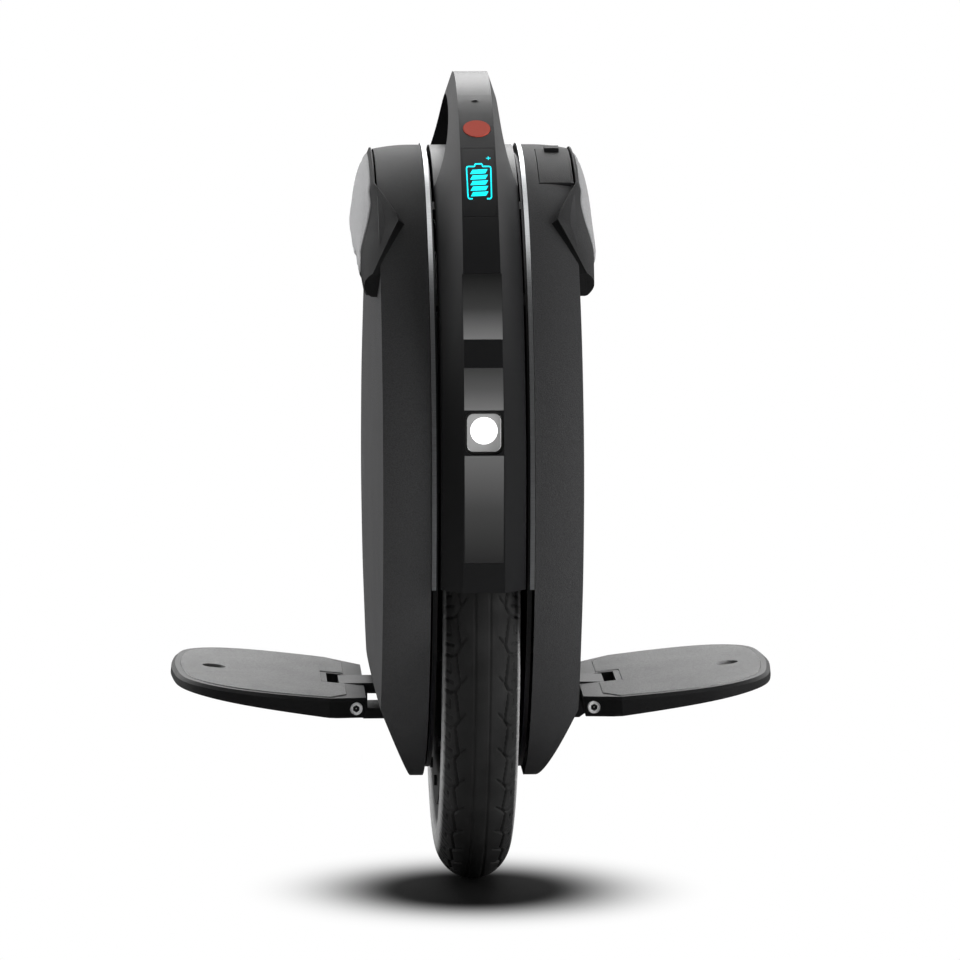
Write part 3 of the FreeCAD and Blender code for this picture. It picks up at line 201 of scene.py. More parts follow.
def pebbled(name, colour, rough, scale, depth):
    """Leather-like soft-touch skin with small rounded cells."""
    material, tree, shader = new_material(name)
    pores = cells(tree, scale)
    fine = noise(tree, scale * 2.4, 2.0)
    colours = ramp(tree, pores, ((0.05, shade(colour, 1.14)), (0.6, shade(colour, 0.84))))
    tree.links.new(colours, shader.inputs["Base Color"])
    tree.links.new(spread(tree, fine, rough - 0.08, rough + 0.08), shader.inputs["Roughness"])
    shader.inputs["Specular IOR Level"].default_value = 0.25
    under = bump(tree, shader, fine, 0.25, depth * 0.5)
    bump(tree, shader, pores, 0.7, depth, under)
    return material


def gritty(name, dark, light, scale, depth):
    """Grip surface: hard bright grains in a darker binder."""
    material, tree, shader = new_material(name)
    grains = cells(tree, scale, "Color")
    split = add(tree, "ShaderNodeSeparateColor")
    tree.links.new(grains, split.inputs["Color"])
    patch = noise(tree, 30.0, 4.0)
    colours = ramp(tree, split.outputs["Red"], ((0.1, dark), (0.95, light)))
    tone = add(tree, "ShaderNodeMix", data_type="RGBA", blend_type="MULTIPLY")
    tone.inputs["Factor"].default_value = 0.5
    tree.links.new(colours, tone.inputs["A"])
    tree.links.new(mottle(tree, patch, grey(0.75), grey(1.0)), tone.inputs["B"])
    tree.links.new(tone.outputs["Result"], shader.inputs["Base Color"])
    tree.links.new(spread(tree, split.outputs["Green"], 0.55, 0.9), shader.inputs["Roughness"])
    bump(tree, shader, cells(tree, scale), 0.8, depth)
    return material


def brushed(name, colour, rough, stretch, metallic=1.0):
    """Machined or brushed metal with fine drawn lines."""
    material, tree, shader = new_material(name)
    mapping = add(tree, "ShaderNodeMapping")
    mapping.inputs["Scale"].default_value = stretch
    tree.links.new(object_coords(tree), mapping.inputs["Vector"])
    lines = noise(tree, 60.0, 4.0, 0.6, mapping.outputs["Vector"])
    colours = mottle(tree, lines, shade(colour, 0.85), shade(colour, 1.1))
    tree.links.new(colours, shader.inputs["Base Color"])
    tree.links.new(spread(tree, lines, rough - 0.08, rough + 0.08), shader.inputs["Roughness"])
    shader.inputs["Metallic"].default_value = metallic
    bump(tree, shader, lines, 0.12, 0.0002)
    return material


def painted_sheen_bar(name, z_low, z_high, low, high):
    """Smoked gloss panel with painted sheen: a glow and tone that grade along its height, given in
    millimetres, standing in for reflected light and shading.
    """
    material, tree, shader = new_material(name)
    along = spread(tree, along_axis(tree, "Z"), 0.0, 1.0, z_low * MM, z_high * MM)
    middle = (low * high) ** 0.5
    colours = ramp(tree, along, ((0.0, grey(low)), (0.5, grey(middle)), (1.0, grey(high))))
    tree.links.new(colours, shader.inputs["Base Color"])
    tree.links.new(colours, shader.inputs["Emission Color"])
    shader.inputs["Emission Strength"].default_value = 0.7
    tree.links.new(spread(tree, noise(tree, 40.0), 0.34, 0.44), shader.inputs["Roughness"])
    return material


def glowing(name, colour, strength, scale=900.0):
    """Lit surface with a faint pattern of emitter cells."""
    material, tree, shader = new_material(name)
    colours = ramp(tree, cells(tree, scale), ((0.0, colour), (0.9, shade(colour, 0.93))))
    tree.links.new(colours, shader.inputs["Base Color"])
    tree.links.new(colours, shader.inputs["Emission Color"])
    shader.inputs["Emission Strength"].default_value = strength
    shader.inputs["Roughness"].default_value = 0.4
    return material


def clear(name, colour, rough, transmission):
    """Clear or tinted lens."""
    material, tree, shader = new_material(name)
    fine = noise(tree, 300.0)
    tree.links.new(mottle(tree, fine, shade(colour, 0.92), colour), shader.inputs["Base Color"])
    tree.links.new(spread(tree, fine, rough, rough + 0.05), shader.inputs["Roughness"])
    shader.inputs["Transmission Weight"].default_value = transmission
    shader.inputs["IOR"].default_value = 1.45
    return material


def tyre_rubber(name):
    """Tyre compound: dark tread and a paler, speckled sidewall whose paleness is painted light standing in
    for the rim light on it.
    """
    material, tree, shader = new_material(name)
    fine = noise(tree, 1400.0, 3.0)
    tread = mottle(tree, noise(tree, 45.0, 5.0), grey(0.011), grey(0.019))
    # Paler speckled sidewall tone: painted light standing in for the rim light on the sidewall.
    sidewall_painted_light = ramp(tree, noise(tree, 380.0, 4.0), ((0.3, grey(0.2)), (0.75, grey(0.3))))
    across = add(tree, "ShaderNodeMath", operation="ABSOLUTE")
    tree.links.new(along_axis(tree, "X"), across.inputs[0])
    tone = add(tree, "ShaderNodeMix", data_type="RGBA")
    tree.links.new(spread(tree, across.outputs[0], 0.0, 1.0, *WALL_TONE_X), tone.inputs["Factor"])
    tree.links.new(tread, tone.inputs["A"])
    tree.links.new(sidewall_painted_light, tone.inputs["B"])
    tree.links.new(tone.outputs["Result"], shader.inputs["Base Color"])
    tree.links.new(spread(tree, fine, 0.58, 0.78), shader.inputs["Roughness"])
    bump(tree, shader, fine, 0.35, 0.0003)
    return material


looks = {}


def look(make, slot, **values):
    """Make the look of one material slot."""
    looks[slot] = make(slot, **values)


look(moulded, "shell_plastic", colour=(0.04, 0.04, 0.041), rough=0.6, grain=1500.0, depth=0.0003, shine=0.18)
look(moulded, "spine_plastic", colour=(0.0085, 0.0085, 0.009), rough=0.38, grain=1800.0, depth=0.00015,
     speck=0.15)
look(moulded, "gloss_black", colour=grey(0.012), rough=0.2, grain=400.0, depth=0.00002, speck=0.1, coat=0.5)
look(pebbled, "soft_touch", colour=(0.013, 0.013, 0.0135), rough=0.6, scale=1500.0, depth=0.0002)
look(pebbled, "pad_foam", colour=(0.26, 0.26, 0.264), rough=0.6, scale=900.0, depth=0.0004)
look(brushed, "trim_silver", colour=(0.62, 0.63, 0.64), rough=0.32, stretch=(1.0, 40.0, 40.0), metallic=0.95)
look(brushed, "frame_metal", colour=(0.1, 0.1, 0.102), rough=0.45, stretch=(1.0, 1.0, 30.0))
look(moulded, "battery_wrap", colour=(0.02, 0.05, 0.16), rough=0.35, grain=300.0, depth=0.0002)
look(moulded, "cast_alloy", colour=(0.013, 0.013, 0.0135), rough=0.42, grain=1100.0, depth=0.00025,
     speck=0.2, metallic=0.3)
look(gritty, "grip_tape", dark=grey(0.27), light=grey(0.44), scale=2400.0, depth=0.0003)
look(brushed, "steel", colour=(0.6, 0.6, 0.61), rough=0.28, stretch=(30.0, 1.0, 30.0))
look(brushed, "magnet", colour=(0.16, 0.16, 0.165), rough=0.36, stretch=(20.0, 20.0, 1.0))
look(brushed, "motor_alloy", colour=(0.07, 0.07, 0.072), rough=0.42, stretch=(1.0, 20.0, 20.0))
look(tyre_rubber, "tyre")
look(tyre_rubber, "tube_rubber")
look(brushed, "core_steel", colour=(0.3, 0.3, 0.31), rough=0.4, stretch=(60.0, 1.0, 1.0))
look(brushed, "copper", colour=(0.7, 0.3, 0.14), rough=0.35, stretch=(1.0, 60.0, 60.0))
look(moulded, "circuit", colour=(0.02, 0.13, 0.05), rough=0.4, grain=250.0, depth=0.0001, speck=0.4)
look(moulded, "socket_plastic", colour=grey(0.02), rough=0.45, grain=1300.0, depth=0.0002)
look(moulded, "button_red", colour=(0.46, 0.06, 0.035), rough=0.62, grain=1500.0, depth=0.00015, speck=0.1)
look(glowing, "lamp_glass", colour=grey(0.21), strength=0.8)
look(glowing, "lamp_white", colour=grey(1.0), strength=1.6)
look(clear, "tail_red", colour=(0.55, 0.02, 0.02), rough=0.15, transmission=0.4)
look(moulded, "display_glass", colour=(0.008, 0.008, 0.0085), rough=0.38, grain=1800.0, depth=0.0001,
     speck=0.12)

black_steel = moulded("black_steel", colour=(0.02, 0.02, 0.021), rough=0.4, grain=900.0, depth=0.0001,
                      speck=0.2, metallic=0.5)
bright_pin = brushed("bright_pin", colour=(0.92, 0.92, 0.93), rough=0.3, stretch=(30.0, 1.0, 30.0),
                     metallic=0.25)
own_looks = {
    "cover_screws": black_steel,
    "grip_screws": looks["spine_plastic"],
    "flap_pin": black_steel,
    "left_hinge_pin": bright_pin,
    "right_hinge_pin": bright_pin,
    # The three gloss panels carry painted sheen: a glow and tone that grade along their height.
    "upper_gloss_panel": painted_sheen_bar("upper_painted_sheen", z_low=384.0, z_high=424.0, low=0.11, high=0.006),
    "middle_gloss_panel": painted_sheen_bar("middle_painted_sheen", z_low=340.0, z_high=367.0, low=0.1, high=0.028),
    "lower_gloss_panel": painted_sheen_bar("lower_painted_sheen", z_low=242.0, z_high=311.0, low=0.012, high=0.076),
}
for part in frame["record"]["subparts"]:
    node = nodes[part["node"]]
    node.data.materials.clear()
    node.data.materials.append(own_looks.get(part["node"], looks[part["material_slot"]]))


# Mesh helpers

def linked(name, data):
    obj = bpy.data.objects.new(name, data)
    bpy.context.scene.collection.objects.link(obj)
    return obj


def piece(name, verts, faces, material, body, smooth=True):
    mesh = bpy.data.meshes.new(name)
    mesh.from_pydata([tuple(v) for v in verts], [], faces)
    mesh.update()
    bm = bmesh.new()
    bm.from_mesh(mesh)
    bmesh.ops.recalc_face_normals(bm, faces=bm.faces)
    bm.to_mesh(mesh)
    bm.free()
    for polygon in mesh.polygons:
        polygon.use_smooth = smooth
    obj = linked(name, mesh)
    mesh.materials.append(material)
    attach(obj, body)
    return obj


def grid_faces(rows, columns, wrap_rows):
    """Faces between neighbouring rows of points, where each row is a closed ring."""
    faces = []
    for i in range(rows if wrap_rows else rows - 1):
        for j in range(columns):
            a = i * columns + j
            b = i * columns + (j + 1) % columns
            c = ((i + 1) % rows) * columns + (j + 1) % columns
            d = ((i + 1) % rows) * columns + j
            faces.append((a, b, c, d))
    return faces


def smoothstep(low, high, value):
    share = np.clip((value - low) / (high - low), 0, 1)
    return share * share * (3 - 2 * share)


# Tyre with moulded tread, in millimetres and degrees round the section
TREAD_PITCHES = 48
STEPS_PER_PITCH = 30
TREAD_EDGE = 78.0
TREAD_STEP = 1.5
TREAD_FADE = (72.0, 80.0)
WALL_START = 82.0
WALL_END = 134.0
WALL_STEP = 4.0
GROOVE_PLACE = 5.0
GROOVE_DEPTH = 0.7
GROOVE_EDGE = (0.3, 0.9)
RIB_PLACES = (92.0, 112.0, 124.0)
RIB_HEIGHT = 0.35
RIB_EDGE = (1.0, 4.0)
TYRE_INSET = 0.4
CAVITY_RADIUS = 20.4
CAVITY_END = 132.0
CAVITY_STEP = 12.0
BEAD_X = (17.2, 17.2, 12.8)
BEAD_RADII = (157.5, 151.5, 151.5)

# Each cut: two places as arc across and share of the pitch, half width, depth
TREAD_CUTS = (
    ((19.9, 0.0), (16.7, 0.74), 0.8, 2.2),
    ((16.7, 0.8), (19.5, 0.98), 0.7, 2.0),
    ((19.5, 0.98), (24.0, 1.08), 0.7, 2.0),
    ((24.0, 1.08), (33.5, 1.13), 0.85, 2.0),
    ((11.5, 0.54), (16.7, 0.8), 0.45, 1.4),
    ((25.0, 0.3), (25.0, 0.52), 0.6, 1.7),
    ((25.0, 0.52), (31.5, 0.55), 0.6, 1.7),
    ((22.5, 0.78), (33.5, 0.82), 0.7, 1.8),
)
CUT_EDGE_IN = 0.25
CUT_EDGE_OUT = 0.35


def slit(w, s, start, end, half_width, depth, pitch):
    """Depth of one groove that repeats every pitch along the tread."""
    best = np.full(np.broadcast(w, s).shape, np.inf)
    run = np.array([end[0] - start[0], end[1] - start[1]])
    for turn in (-1, 0, 1):
        px = w - start[0]
        py = s - start[1] - turn * pitch
        along = np.clip((px * run[0] + py * run[1]) / (run @ run), 0, 1)
        best = np.minimum(best, np.hypot(px - along * run[0], py - along * run[1]))
    return depth * (1 - smoothstep(half_width - CUT_EDGE_IN, half_width + CUT_EDGE_OUT, best))


def tyre_piece():
    columns = TREAD_PITCHES * STEPS_PER_PITCH
    turn = np.arange(columns) * 2 * math.pi / columns
    pitch = 2 * math.pi * TYRE_RADIUS / TREAD_PITCHES
    tread = np.radians(np.arange(-TREAD_EDGE, TREAD_EDGE + 0.1, TREAD_STEP))
    side = np.radians(np.arange(WALL_START, WALL_END, WALL_STEP))
    angles = np.concatenate([-side[::-1], tread, side])
    arc = angles * (TYRE_HALF_WIDTH + TYRE_RADIUS - TYRE_MIDDLE) / 2
    w = np.abs(arc)[:, None]
    s = ((np.arange(columns) % STEPS_PER_PITCH) * pitch / STEPS_PER_PITCH)[None, :]
    groove = GROOVE_DEPTH * (1 - smoothstep(*GROOVE_EDGE, np.abs(w - GROOVE_PLACE)))
    depth = groove + np.zeros((len(angles), columns))
    for start, end, half_width, deep in TREAD_CUTS:
        first = (start[0], start[1] * pitch)
        last = (end[0], end[1] * pitch)
        depth = np.maximum(depth, slit(w, s, first, last, half_width, deep, pitch))
    wall = np.degrees(np.abs(angles))[:, None]
    depth = depth * (1 - smoothstep(*TREAD_FADE, wall))
    for place in RIB_PLACES:
        depth = depth - RIB_HEIGHT * (1 - smoothstep(*RIB_EDGE, np.abs(wall - place)))
    sine, cosine = np.sin(angles)[:, None], np.cos(angles)[:, None]
    outer_x = (TYRE_HALF_WIDTH - TYRE_INSET) * sine - sine * depth
    outer_r = TYRE_MIDDLE + (TYRE_RADIUS - TYRE_MIDDLE) * cosine - cosine * depth
    back = np.radians(np.arange(CAVITY_END, -CAVITY_END - 1, -CAVITY_STEP))
    bead_x, bead_r = np.array(BEAD_X), np.array(BEAD_RADII)
    inner_x = np.concatenate([bead_x, CAVITY_RADIUS * np.sin(back), -bead_x[::-1]])
    inner_r = np.concatenate([bead_r, TYRE_MIDDLE + CAVITY_RADIUS * np.cos(back), bead_r[::-1]])
    x = np.concatenate([outer_x, np.repeat(inner_x[:, None], columns, 1)])
    r = np.concatenate([outer_r, np.repeat(inner_r[:, None], columns, 1)])
    verts = np.stack([x, -r * np.sin(turn), AXLE + r * np.cos(turn)], -1).reshape(-1, 3) * MM
    obj = piece("tyre_tread", verts, grid_faces(len(x), columns, True), looks["tyre"], "wheel")
    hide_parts("tyre")


# Shoulder pods and leg pads, in millimetres, degrees and shares of the pod's height or the pad's width
LIP_START = 0.96
LIP_SPAN = 0.04
LIP_DEPTH = 1.1
POD_SHARES = np.concatenate([[0.0, 0.012], np.linspace(0.03, LIP_START, 40), [0.985, 1.0]])
POD_COUNTS = (14, 13, 31)
POD_SHARP = 32
PAD_THICK = 1.55
PAD_ROOT = 0.8
PAD_TIP = (37.5, 37.3, 36.8, 36.0, 35.0, 33.5, 32.0, 30.0, 28.0, 26.0, 24.0, 22.0, 20.0)
PAD_MIDDLE_COUNT = 25
PAD_TIP_LIFT = 0.45
PAD_TIP_ROUND = 1.2
PAD_ACROSS = np.concatenate([[0.0, 0.008, 0.02, 0.04, 0.07, 0.1], np.linspace(0.14, 0.86, 28),
                             [0.9, 0.93, 0.96, 0.98, 0.992, 1.0]])
PAD_EDGE_LIFT = 0.3
PAD_DOME_LIFT = 0.75
PAD_DOME_POWER = 7
PAD_DOME_ROUND = 0.6
PAD_SHARP = 50
STITCH_PLACES = (0.075, 0.925)
STITCH_EDGE = (0.004, 0.022)
STITCH_DEPTH = 0.28
PIPING_COUNTS = (14, 12, 24)
PIPING_RADIUS = 0.6
PIPING_IN = 0.2
PIPING_DOWN = 0.5


def pod_station(angle, values):
    return np.interp(np.abs(angle), POD_ANGLES, values)


def pod_face(angle, share):
    """Outer face of a pod at an angle from the top and a share of its height."""
    seam = pod_station(angle, POD_SEAM_X)
    crown = pod_station(angle, POD_CROWN)
    top = pod_station(angle, POD_TOP)
    low = pod_station(angle, POD_LOW)
    climb = 1 - np.clip(1 - share / POD_CROWN_SHARE, 0, 1) ** POD_RISE_POWER
    fall = np.clip((share - POD_CROWN_SHARE) / (1 - POD_CROWN_SHARE), 0, 1) ** 2
    return seam + (crown - seam) * climb - POD_FALL * fall, top + (low - top) * share


def pod_angles(rise_count, tip_count, middle_count):
    """Angles along a pod from one end to the other, closer together over its teeth."""
    first, apex, last = POD_ANGLES
    tooth = np.concatenate([np.linspace(first, apex, rise_count), np.linspace(apex, last, tip_count)[1:]])
    return np.concatenate([-tooth[::-1], np.linspace(-first, first, middle_count)[1:-1], tooth])


def disc_points(side, angle, x, radius):
    phi = np.radians(angle)
    return np.stack([side * x, -radius * np.sin(phi), DISC_Z + radius * np.cos(phi)], -1) * MM


def capped_loft(rings):
    """Closed skin through rings of equal count, with both ends filled."""
    count = len(rings[0])
    faces = grid_faces(len(rings), count, False)
    last = (len(rings) - 1) * count
    faces.append(tuple(range(count)))
    faces.append(tuple(range(last, last + count)))
    return np.concatenate(rings), faces


def pod_piece(side, name, node):
    rings = []
    for angle in pod_angles(*POD_COUNTS):
        x, radius = pod_face(angle, POD_SHARES)
        x = x - LIP_DEPTH * np.clip((POD_SHARES - LIP_START) / LIP_SPAN, 0, 1) ** 2
        foot = float(pod_station(angle, POD_FOOT_X))
        x = np.concatenate([[foot, foot], x])
        radius = np.concatenate([[radius[-1], POD_FOOT], radius])
        rings.append(disc_points(side, angle, x, radius))
    verts, faces = capped_loft(rings)
    obj = piece(name, verts, faces, looks["soft_touch"], "chassis")
    obj.data.set_sharp_from_angle(angle=math.radians(POD_SHARP))
    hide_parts(node)


def leg_pad(side, name, node):
    tip = np.array(PAD_TIP)
    middle = np.linspace(-PAD_ANGLES[0], PAD_ANGLES[0], PAD_MIDDLE_COUNT)[1:-1]
    angles = np.concatenate([-tip, middle, tip[::-1]])
    bulge = (1 - np.abs(2 * PAD_ACROSS - 1) ** PAD_DOME_POWER) ** PAD_DOME_ROUND
    dome = PAD_EDGE_LIFT + PAD_DOME_LIFT * bulge
    stitch = np.minimum(*(np.abs(PAD_ACROSS - place) for place in STITCH_PLACES))
    dome = dome - STITCH_DEPTH * (1 - smoothstep(*STITCH_EDGE, stitch))
    rings = []
    for angle in angles:
        high = np.interp(abs(angle), PAD_ANGLES, PAD_HIGH)
        low = np.interp(abs(angle), PAD_ANGLES, PAD_LOW)
        rounding = min(1.0, PAD_TIP_LIFT + (PAD_ANGLES[-1] - abs(angle)) / PAD_TIP_ROUND)
        swell = np.interp(abs(angle), PAD_ANGLES, PAD_SWELL) * rounding
        x, radius = pod_face(angle, high + (low - high) * PAD_ACROSS)
        lifted = x + PAD_THICK * dome * swell
        rings.append(disc_points(side, angle, np.concatenate([lifted, [x[-1] - PAD_ROOT, x[0] - PAD_ROOT]]),
                                 np.concatenate([radius, [radius[-1], radius[0]]])))
    verts, faces = capped_loft(rings)
    obj = piece(name, verts, faces, looks["pad_foam"], "chassis")
    obj.data.set_sharp_from_angle(angle=math.radians(PAD_SHARP))
    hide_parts(node)


def pod_piping(side, name):
    """Welt that follows the seam of a pod."""
    angles = pod_angles(*PIPING_COUNTS)
    curve = bpy.data.curves.new(name, "CURVE")
    curve.dimensions = "3D"
    curve.bevel_depth = PIPING_RADIUS * MM
    curve.bevel_resolution = 3
    curve.use_fill_caps = True
    spline = curve.splines.new("POLY")
    spline.points.add(len(angles) - 1)
    x, radius = pod_face(angles, 0.0)
    places = disc_points(side, angles, x - PIPING_IN, radius - PIPING_DOWN)
    for point, place in zip(spline.points, places):
        point.co = (*place, 1.0)
    curve.materials.append(looks["soft_touch"])
    obj = linked(name, curve)
    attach(obj, "chassis")


# Battery gauge on the display, in millimetres; GAUGE_LEFT is the left half of its outline
GAUGE_PROUD = 0.06
GAUGE_LOW = 470.3
GAUGE_HIGH = 489.3
GAUGE_HALF = 7.6
GAUGE_LEFT = (
    (-4.6, GAUGE_LOW), (-GAUGE_HALF + 0.8, GAUGE_LOW), (-GAUGE_HALF, GAUGE_LOW + 0.8),
    (-GAUGE_HALF - 0.3, GAUGE_HIGH - 0.6), (-GAUGE_HALF + 0.6, GAUGE_HIGH), (-2.6, GAUGE_HIGH),
    (-2.2, GAUGE_HIGH + 1.5), (0.0, GAUGE_HIGH + 1.5),
)
GAUGE_STROKE = 0.42
STROKE_STEPS = 8
BAR_STEPS = 6
BAR_COUNT = 5
BAR_PITCH = 3.28
BAR_SHARE = 0.78
BAR_LIFT = 1.6
BAR_MARGIN = 2.6
BAR_SLANT = 1.7
BAR_TILT_SHARE = 0.12
PLUS_X = 6.5
PLUS_Z = 494.1
PLUS_HALF_X = 1.5
PLUS_HALF_Z = 1.0
PLUS_LEVEL_STROKE = 0.2
PLUS_UPRIGHT_STROKE = 0.26


def gauge_point(x, z):
    share = (z - DISC_Z) / SPINE_B
    y = -SPINE_A * math.sqrt(1 - share * share)
    normal = Vector((0, y / SPINE_A ** 2, (z - DISC_Z) / SPINE_B ** 2)).normalized()
    return (Vector((x, y, z)) + normal * GAUGE_PROUD) * MM


def band_faces(first, steps):
    return [(a, a + 1, a + 3, a + 2) for a in range(first, first + 2 * steps, 2)]


def gauge_strip(verts, faces, start, end, half_width):
    """One stroke between two places on the curved window."""
    run = Vector((end[0] - start[0], end[1] - start[1]))
    side = Vector((-run.y, run.x)).normalized() * half_width
    faces += band_faces(len(verts), STROKE_STEPS)
    for step in range(STROKE_STEPS + 1):
        middle = Vector(start) + run * (step / STROKE_STEPS)
        for sign in (-1, 1):
            spot = middle + side * sign
            verts.append(gauge_point(spot.x, spot.y))


def gauge_bar(verts, faces, low, high, half):
    """One charge bar with slanted ends."""
    tilt = BAR_SLANT * BAR_TILT_SHARE
    faces += band_faces(len(verts), BAR_STEPS)
    for step in range(BAR_STEPS + 1):
        share = step / BAR_STEPS
        z = low + (high - low) * share
        shift = BAR_SLANT * (share - 0.5)
        verts.append(gauge_point(-half + shift, z - tilt))
        verts.append(gauge_point(half + shift, z + tilt))


def battery_gauge():
    verts, faces = [], []
    for sign in (-1, 1):
        for start, end in zip(GAUGE_LEFT, GAUGE_LEFT[1:]):
            gauge_strip(verts, faces, (-sign * start[0], start[1]), (-sign * end[0], end[1]), GAUGE_STROKE)
    for step in range(BAR_COUNT):
        z = GAUGE_LOW + BAR_LIFT + BAR_PITCH * step
        gauge_bar(verts, faces, z, z + BAR_PITCH * BAR_SHARE, GAUGE_HALF - BAR_MARGIN)
    gauge_strip(verts, faces, (PLUS_X - PLUS_HALF_X, PLUS_Z), (PLUS_X + PLUS_HALF_X, PLUS_Z),
                PLUS_LEVEL_STROKE)
    gauge_strip(verts, faces, (PLUS_X, PLUS_Z - PLUS_HALF_Z), (PLUS_X, PLUS_Z + PLUS_HALF_Z),
                PLUS_UPRIGHT_STROKE)
    glow = glowing("gauge_cyan", colour=(0.0, 0.88, 1.0), strength=0.8, scale=1800.0)
    piece("battery_gauge", verts, faces, glow, "chassis", False)


# Headlight dome and pin heads, in metres and shares of the pin's radius or the socket's reach
ROUND_STEPS = 48
DOME_STEPS = 8
DOME_RADIUS = 0.0088
DOME_RISE = 0.0009
DOME_LIFT = 0.0012
HEAD_PROFILE = ((0.8, 0.0), (0.985, 0.0), (0.985, 0.0002), (0.86, 0.0006))
SOCKET_PROFILE = ((1.0, 0.0006), (0.98, -0.0005), (0.2, -0.0006))
SOCKET_SHARE = 0.5


def lamp_dome():
    """Bright emitter dome on the front face of the lamp lens."""
    lo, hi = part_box("headlight_lens")
    centre = Vector(((lo[0] + hi[0]) / 2, lo[1], (lo[2] + hi[2]) / 2 + DOME_LIFT))
    verts, faces = [centre + Vector((0, -DOME_RISE, 0))], []
    for ring in range(1, DOME_STEPS + 1):
        share = ring / DOME_STEPS
        reach, rise = DOME_RADIUS * share, DOME_RISE * math.sqrt(1 - share ** 2)
        for step in range(ROUND_STEPS):
            turn = 2 * math.pi * step / ROUND_STEPS
            verts.append(centre + Vector((reach * math.cos(turn), -rise, reach * math.sin(turn))))
    for step in range(ROUND_STEPS):
        after = (step + 1) % ROUND_STEPS
        faces.append((0, 1 + step, 1 + after))
        for ring in range(DOME_STEPS - 1):
            a = 1 + ring * ROUND_STEPS
            b = a + ROUND_STEPS
            faces.append((a + step, b + step, b + after, a + after))
    faces.append(tuple(1 + (DOME_STEPS - 1) * ROUND_STEPS + step for step in range(ROUND_STEPS)))
    piece("headlight_dome", verts, faces, looks["lamp_white"], "chassis")


def socket_head(body, name, node, end):
    """Chamfered pin head with a six-sided socket, whose wall and floor are dark as painted shade in the
    recess.
    """
    lo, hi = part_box(node)
    face = lo[1] if end < 0 else hi[1]
    x, z = (lo[0] + hi[0]) / 2, (lo[2] + hi[2]) / 2
    radius = (hi[2] - lo[2]) / 2
    verts, faces = [], []
    for step in range(ROUND_STEPS):
        turn = 2 * math.pi * step / ROUND_STEPS
        wedge = (turn + math.pi / 6) % (math.pi / 3) - math.pi / 6
        flat = radius * SOCKET_SHARE / math.cos(wedge)
        profile = [(radius * share, rise) for share, rise in HEAD_PROFILE]
        profile += [(flat * share, rise) for share, rise in SOCKET_PROFILE]
        for reach, rise in profile:
            verts.append((x + reach * math.cos(turn), face + end * rise, z + reach * math.sin(turn)))
    count = len(profile)
    for step in range(ROUND_STEPS):
        after = (step + 1) % ROUND_STEPS
        for level in range(count - 1):
            a, b = step * count + level, after * count + level
            faces.append((a, b, b + 1, a + 1))
    obj = piece(name, verts, faces, bright_pin, body, False)
    # The socket's wall and floor take the dark steel finish as painted shade in the recess.
    obj.data.materials.append(black_steel)
    for polygon in obj.data.polygons:
        if polygon.index % (count - 1) >= len(HEAD_PROFILE):
            polygon.material_index = 1


tyre_piece()
pod_piece(1, "right_pod_form", "right_pod")
pod_piece(-1, "left_pod_form", "left_pod")
leg_pad(1, "right_pad_cushion", "right_leg_pad")
leg_pad(-1, "left_pad_cushion", "left_leg_pad")
pod_piping(1, "right_pod_piping")
pod_piping(-1, "left_pod_piping")
battery_gauge()
lamp_dome()
for side in ("left", "right"):
    for end, place in ((-1, "front"), (1, "rear")):
        socket_head(side + "_pedal", side + "_" + place + "_socket", side + "_hinge_pin", end)


# Stage, light and camera, in metres; the camera's shift is in pixels of the picture
FLOOR_REACH = 30.0
FLOOR_TONE = 0.8
FLOOR_GLOSSY_SHARE = 0.1
# Painted shadow under the wheel on the floor: its tone, the radii of its soft edge and its offset.
SHADOW_PAINT_TONE = 0.006
SHADOW_PAINT_EDGE = (0.05, 0.16)
SHADOW_PAINT_OFFSET = (0.0, 0.06, 0.0)
ROOM_EDGE = (-0.05, 0.6)
ROOM_LEVELS = (0.05, 0.75)
LIGHT_AIM = (0, 0, 0.3)
CAMERA_PLACE = (-0.2408, -5.9952, 1.0763)
CAMERA_AIM = (0, 0, 0.268)
CAMERA_SHIFT = (9.5, -2.56)
PICTURE_WIDTH = 960


def facing(place, target):
    return (Vector(target) - Vector(place)).to_track_quat("-Z", "Y").to_euler()


def floor():
    """Pale floor, white to the camera, with a dark patch painted under the wheel as its shadow, and dimmed
    for mirror rays.
    """
    mesh = bpy.data.meshes.new("floor")
    corners = [(x * FLOOR_REACH, y * FLOOR_REACH, 0) for x, y in ((-1, -1), (1, -1), (1, 1), (-1, 1))]
    mesh.from_pydata(corners, [], [(0, 1, 2, 3)])
    obj = linked("floor", mesh)
    material, tree, shader = new_material("floor")
    shader.inputs["Roughness"].default_value = 0.8
    shader.inputs["Specular IOR Level"].default_value = 0.1
    offset = add(tree, "ShaderNodeVectorMath", operation="ADD")
    offset.inputs[1].default_value = SHADOW_PAINT_OFFSET
    tree.links.new(object_coords(tree), offset.inputs[0])
    length = add(tree, "ShaderNodeVectorMath", operation="LENGTH")
    tree.links.new(offset.outputs[0], length.inputs[0])
    far = spread(tree, length.outputs["Value"], 0.0, 1.0, *SHADOW_PAINT_EDGE)
    far.node.interpolation_type = "SMOOTHSTEP"
    path = add(tree, "ShaderNodeLightPath")
    # Base colour with the painted shadow: dark under the wheel, pale further out.
    painted_shadow_tone = spread(tree, far, SHADOW_PAINT_TONE, FLOOR_TONE)
    kept = spread(tree, path.outputs["Is Glossy Ray"], 1.0, FLOOR_GLOSSY_SHARE)
    tree.links.new(product(tree, painted_shadow_tone, kept), shader.inputs["Base Color"])
    white = add(tree, "ShaderNodeEmission")
    mix = add(tree, "ShaderNodeMixShader")
    tree.links.new(product(tree, far, path.outputs["Is Camera Ray"]), mix.inputs["Fac"])
    tree.links.new(shader.outputs[0], mix.inputs[1])
    tree.links.new(white.outputs[0], mix.inputs[2])
    tree.links.new(mix.outputs[0], tree.nodes["Material Output"].inputs["Surface"])
    mesh.materials.append(material)


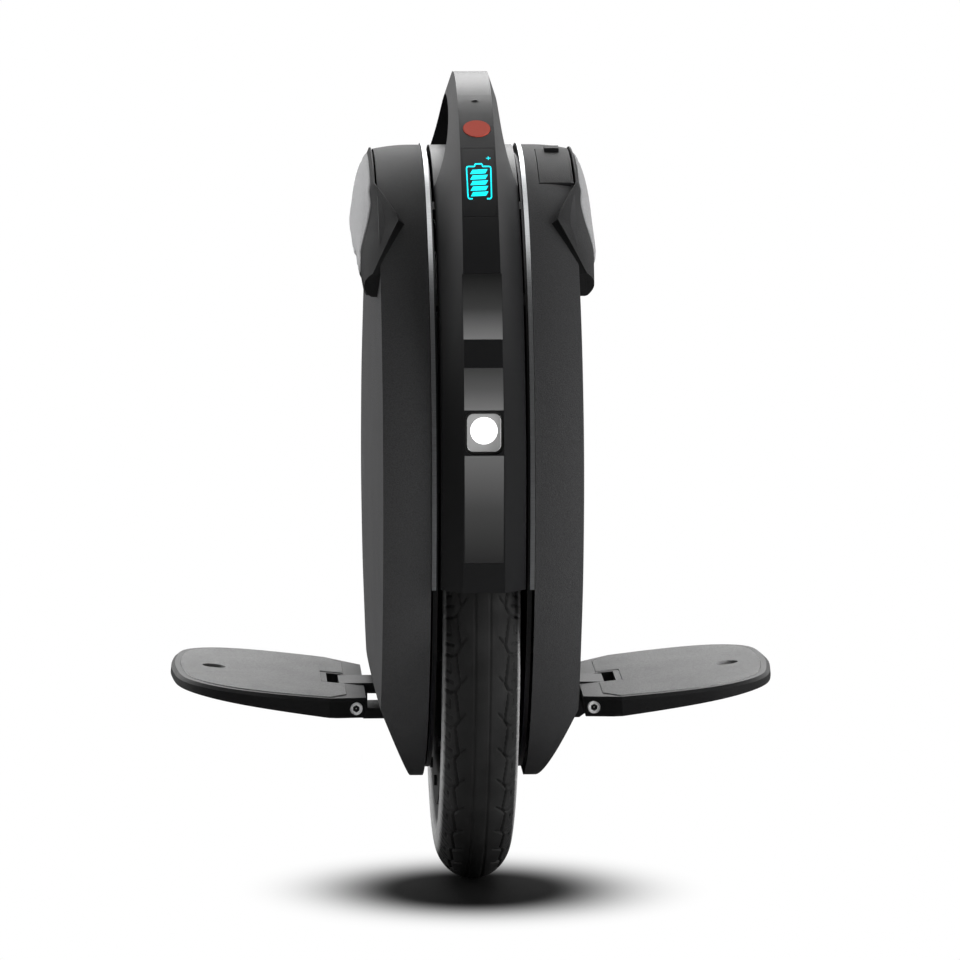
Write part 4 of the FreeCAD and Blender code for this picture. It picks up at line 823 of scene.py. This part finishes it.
def world():
    """White room behind the object, darker on the side it is seen from."""
    scene_world = bpy.data.worlds.new("studio")
    bpy.context.scene.world = scene_world
    scene_world.use_nodes = True
    tree = scene_world.node_tree
    back = tree.nodes["Background"]
    back.inputs["Color"].default_value = (1.0, 1.0, 1.0, 1.0)
    toward = along_axis(tree, "Y", add(tree, "ShaderNodeTexCoord").outputs["Generated"])
    depth = spread(tree, toward, 0.0, 1.0, *ROOM_EDGE)
    path = add(tree, "ShaderNodeLightPath")
    level = add(tree, "ShaderNodeMix", data_type="FLOAT")
    tree.links.new(path.outputs["Is Camera Ray"], level.inputs["Factor"])
    tree.links.new(spread(tree, depth, *ROOM_LEVELS), level.inputs["A"])
    level.inputs["B"].default_value = 1.0
    tree.links.new(level.outputs["Result"], back.inputs["Strength"])


def area_light(name, place, target, size, power, mirrored=True):
    data = bpy.data.lights.new(name, "AREA")
    data.shape = "RECTANGLE"
    data.size, data.size_y = size
    data.energy = power
    obj = linked(name, data)
    obj.location = place
    obj.visible_glossy = mirrored
    obj.rotation_euler = facing(place, target)


def camera():
    data = bpy.data.cameras.new("camera")
    data.lens = 340.5
    data.sensor_width = 36.0
    data.shift_x = CAMERA_SHIFT[0] / PICTURE_WIDTH
    data.shift_y = CAMERA_SHIFT[1] / PICTURE_WIDTH
    data.clip_end = 100.0
    obj = linked("camera", data)
    obj.location = CAMERA_PLACE
    obj.rotation_euler = facing(CAMERA_PLACE, CAMERA_AIM)
    bpy.context.scene.camera = obj


floor()
world()
area_light("left_box", (-2.0, 0.9, 0.7), LIGHT_AIM, size=(1.2, 1.8), power=76.0, mirrored=False)
area_light("right_box", (2.0, -1.0, 0.6), LIGHT_AIM, size=(1.0, 1.8), power=80.0, mirrored=False)
area_light("back_top_box", (0, 2.0, 1.6), LIGHT_AIM, size=(2.2, 1.2), power=29.0)
area_light("top_box", (0, 0.2, 2.4), LIGHT_AIM, size=(1.0, 1.0), power=3.0)
area_light("front_fill", (0.1, -4.0, 0.25), (0, 0, 0.25), size=(1.6, 1.0), power=30.0, mirrored=False)
camera()
bpy.context.scene.view_settings.view_transform = "Standard"
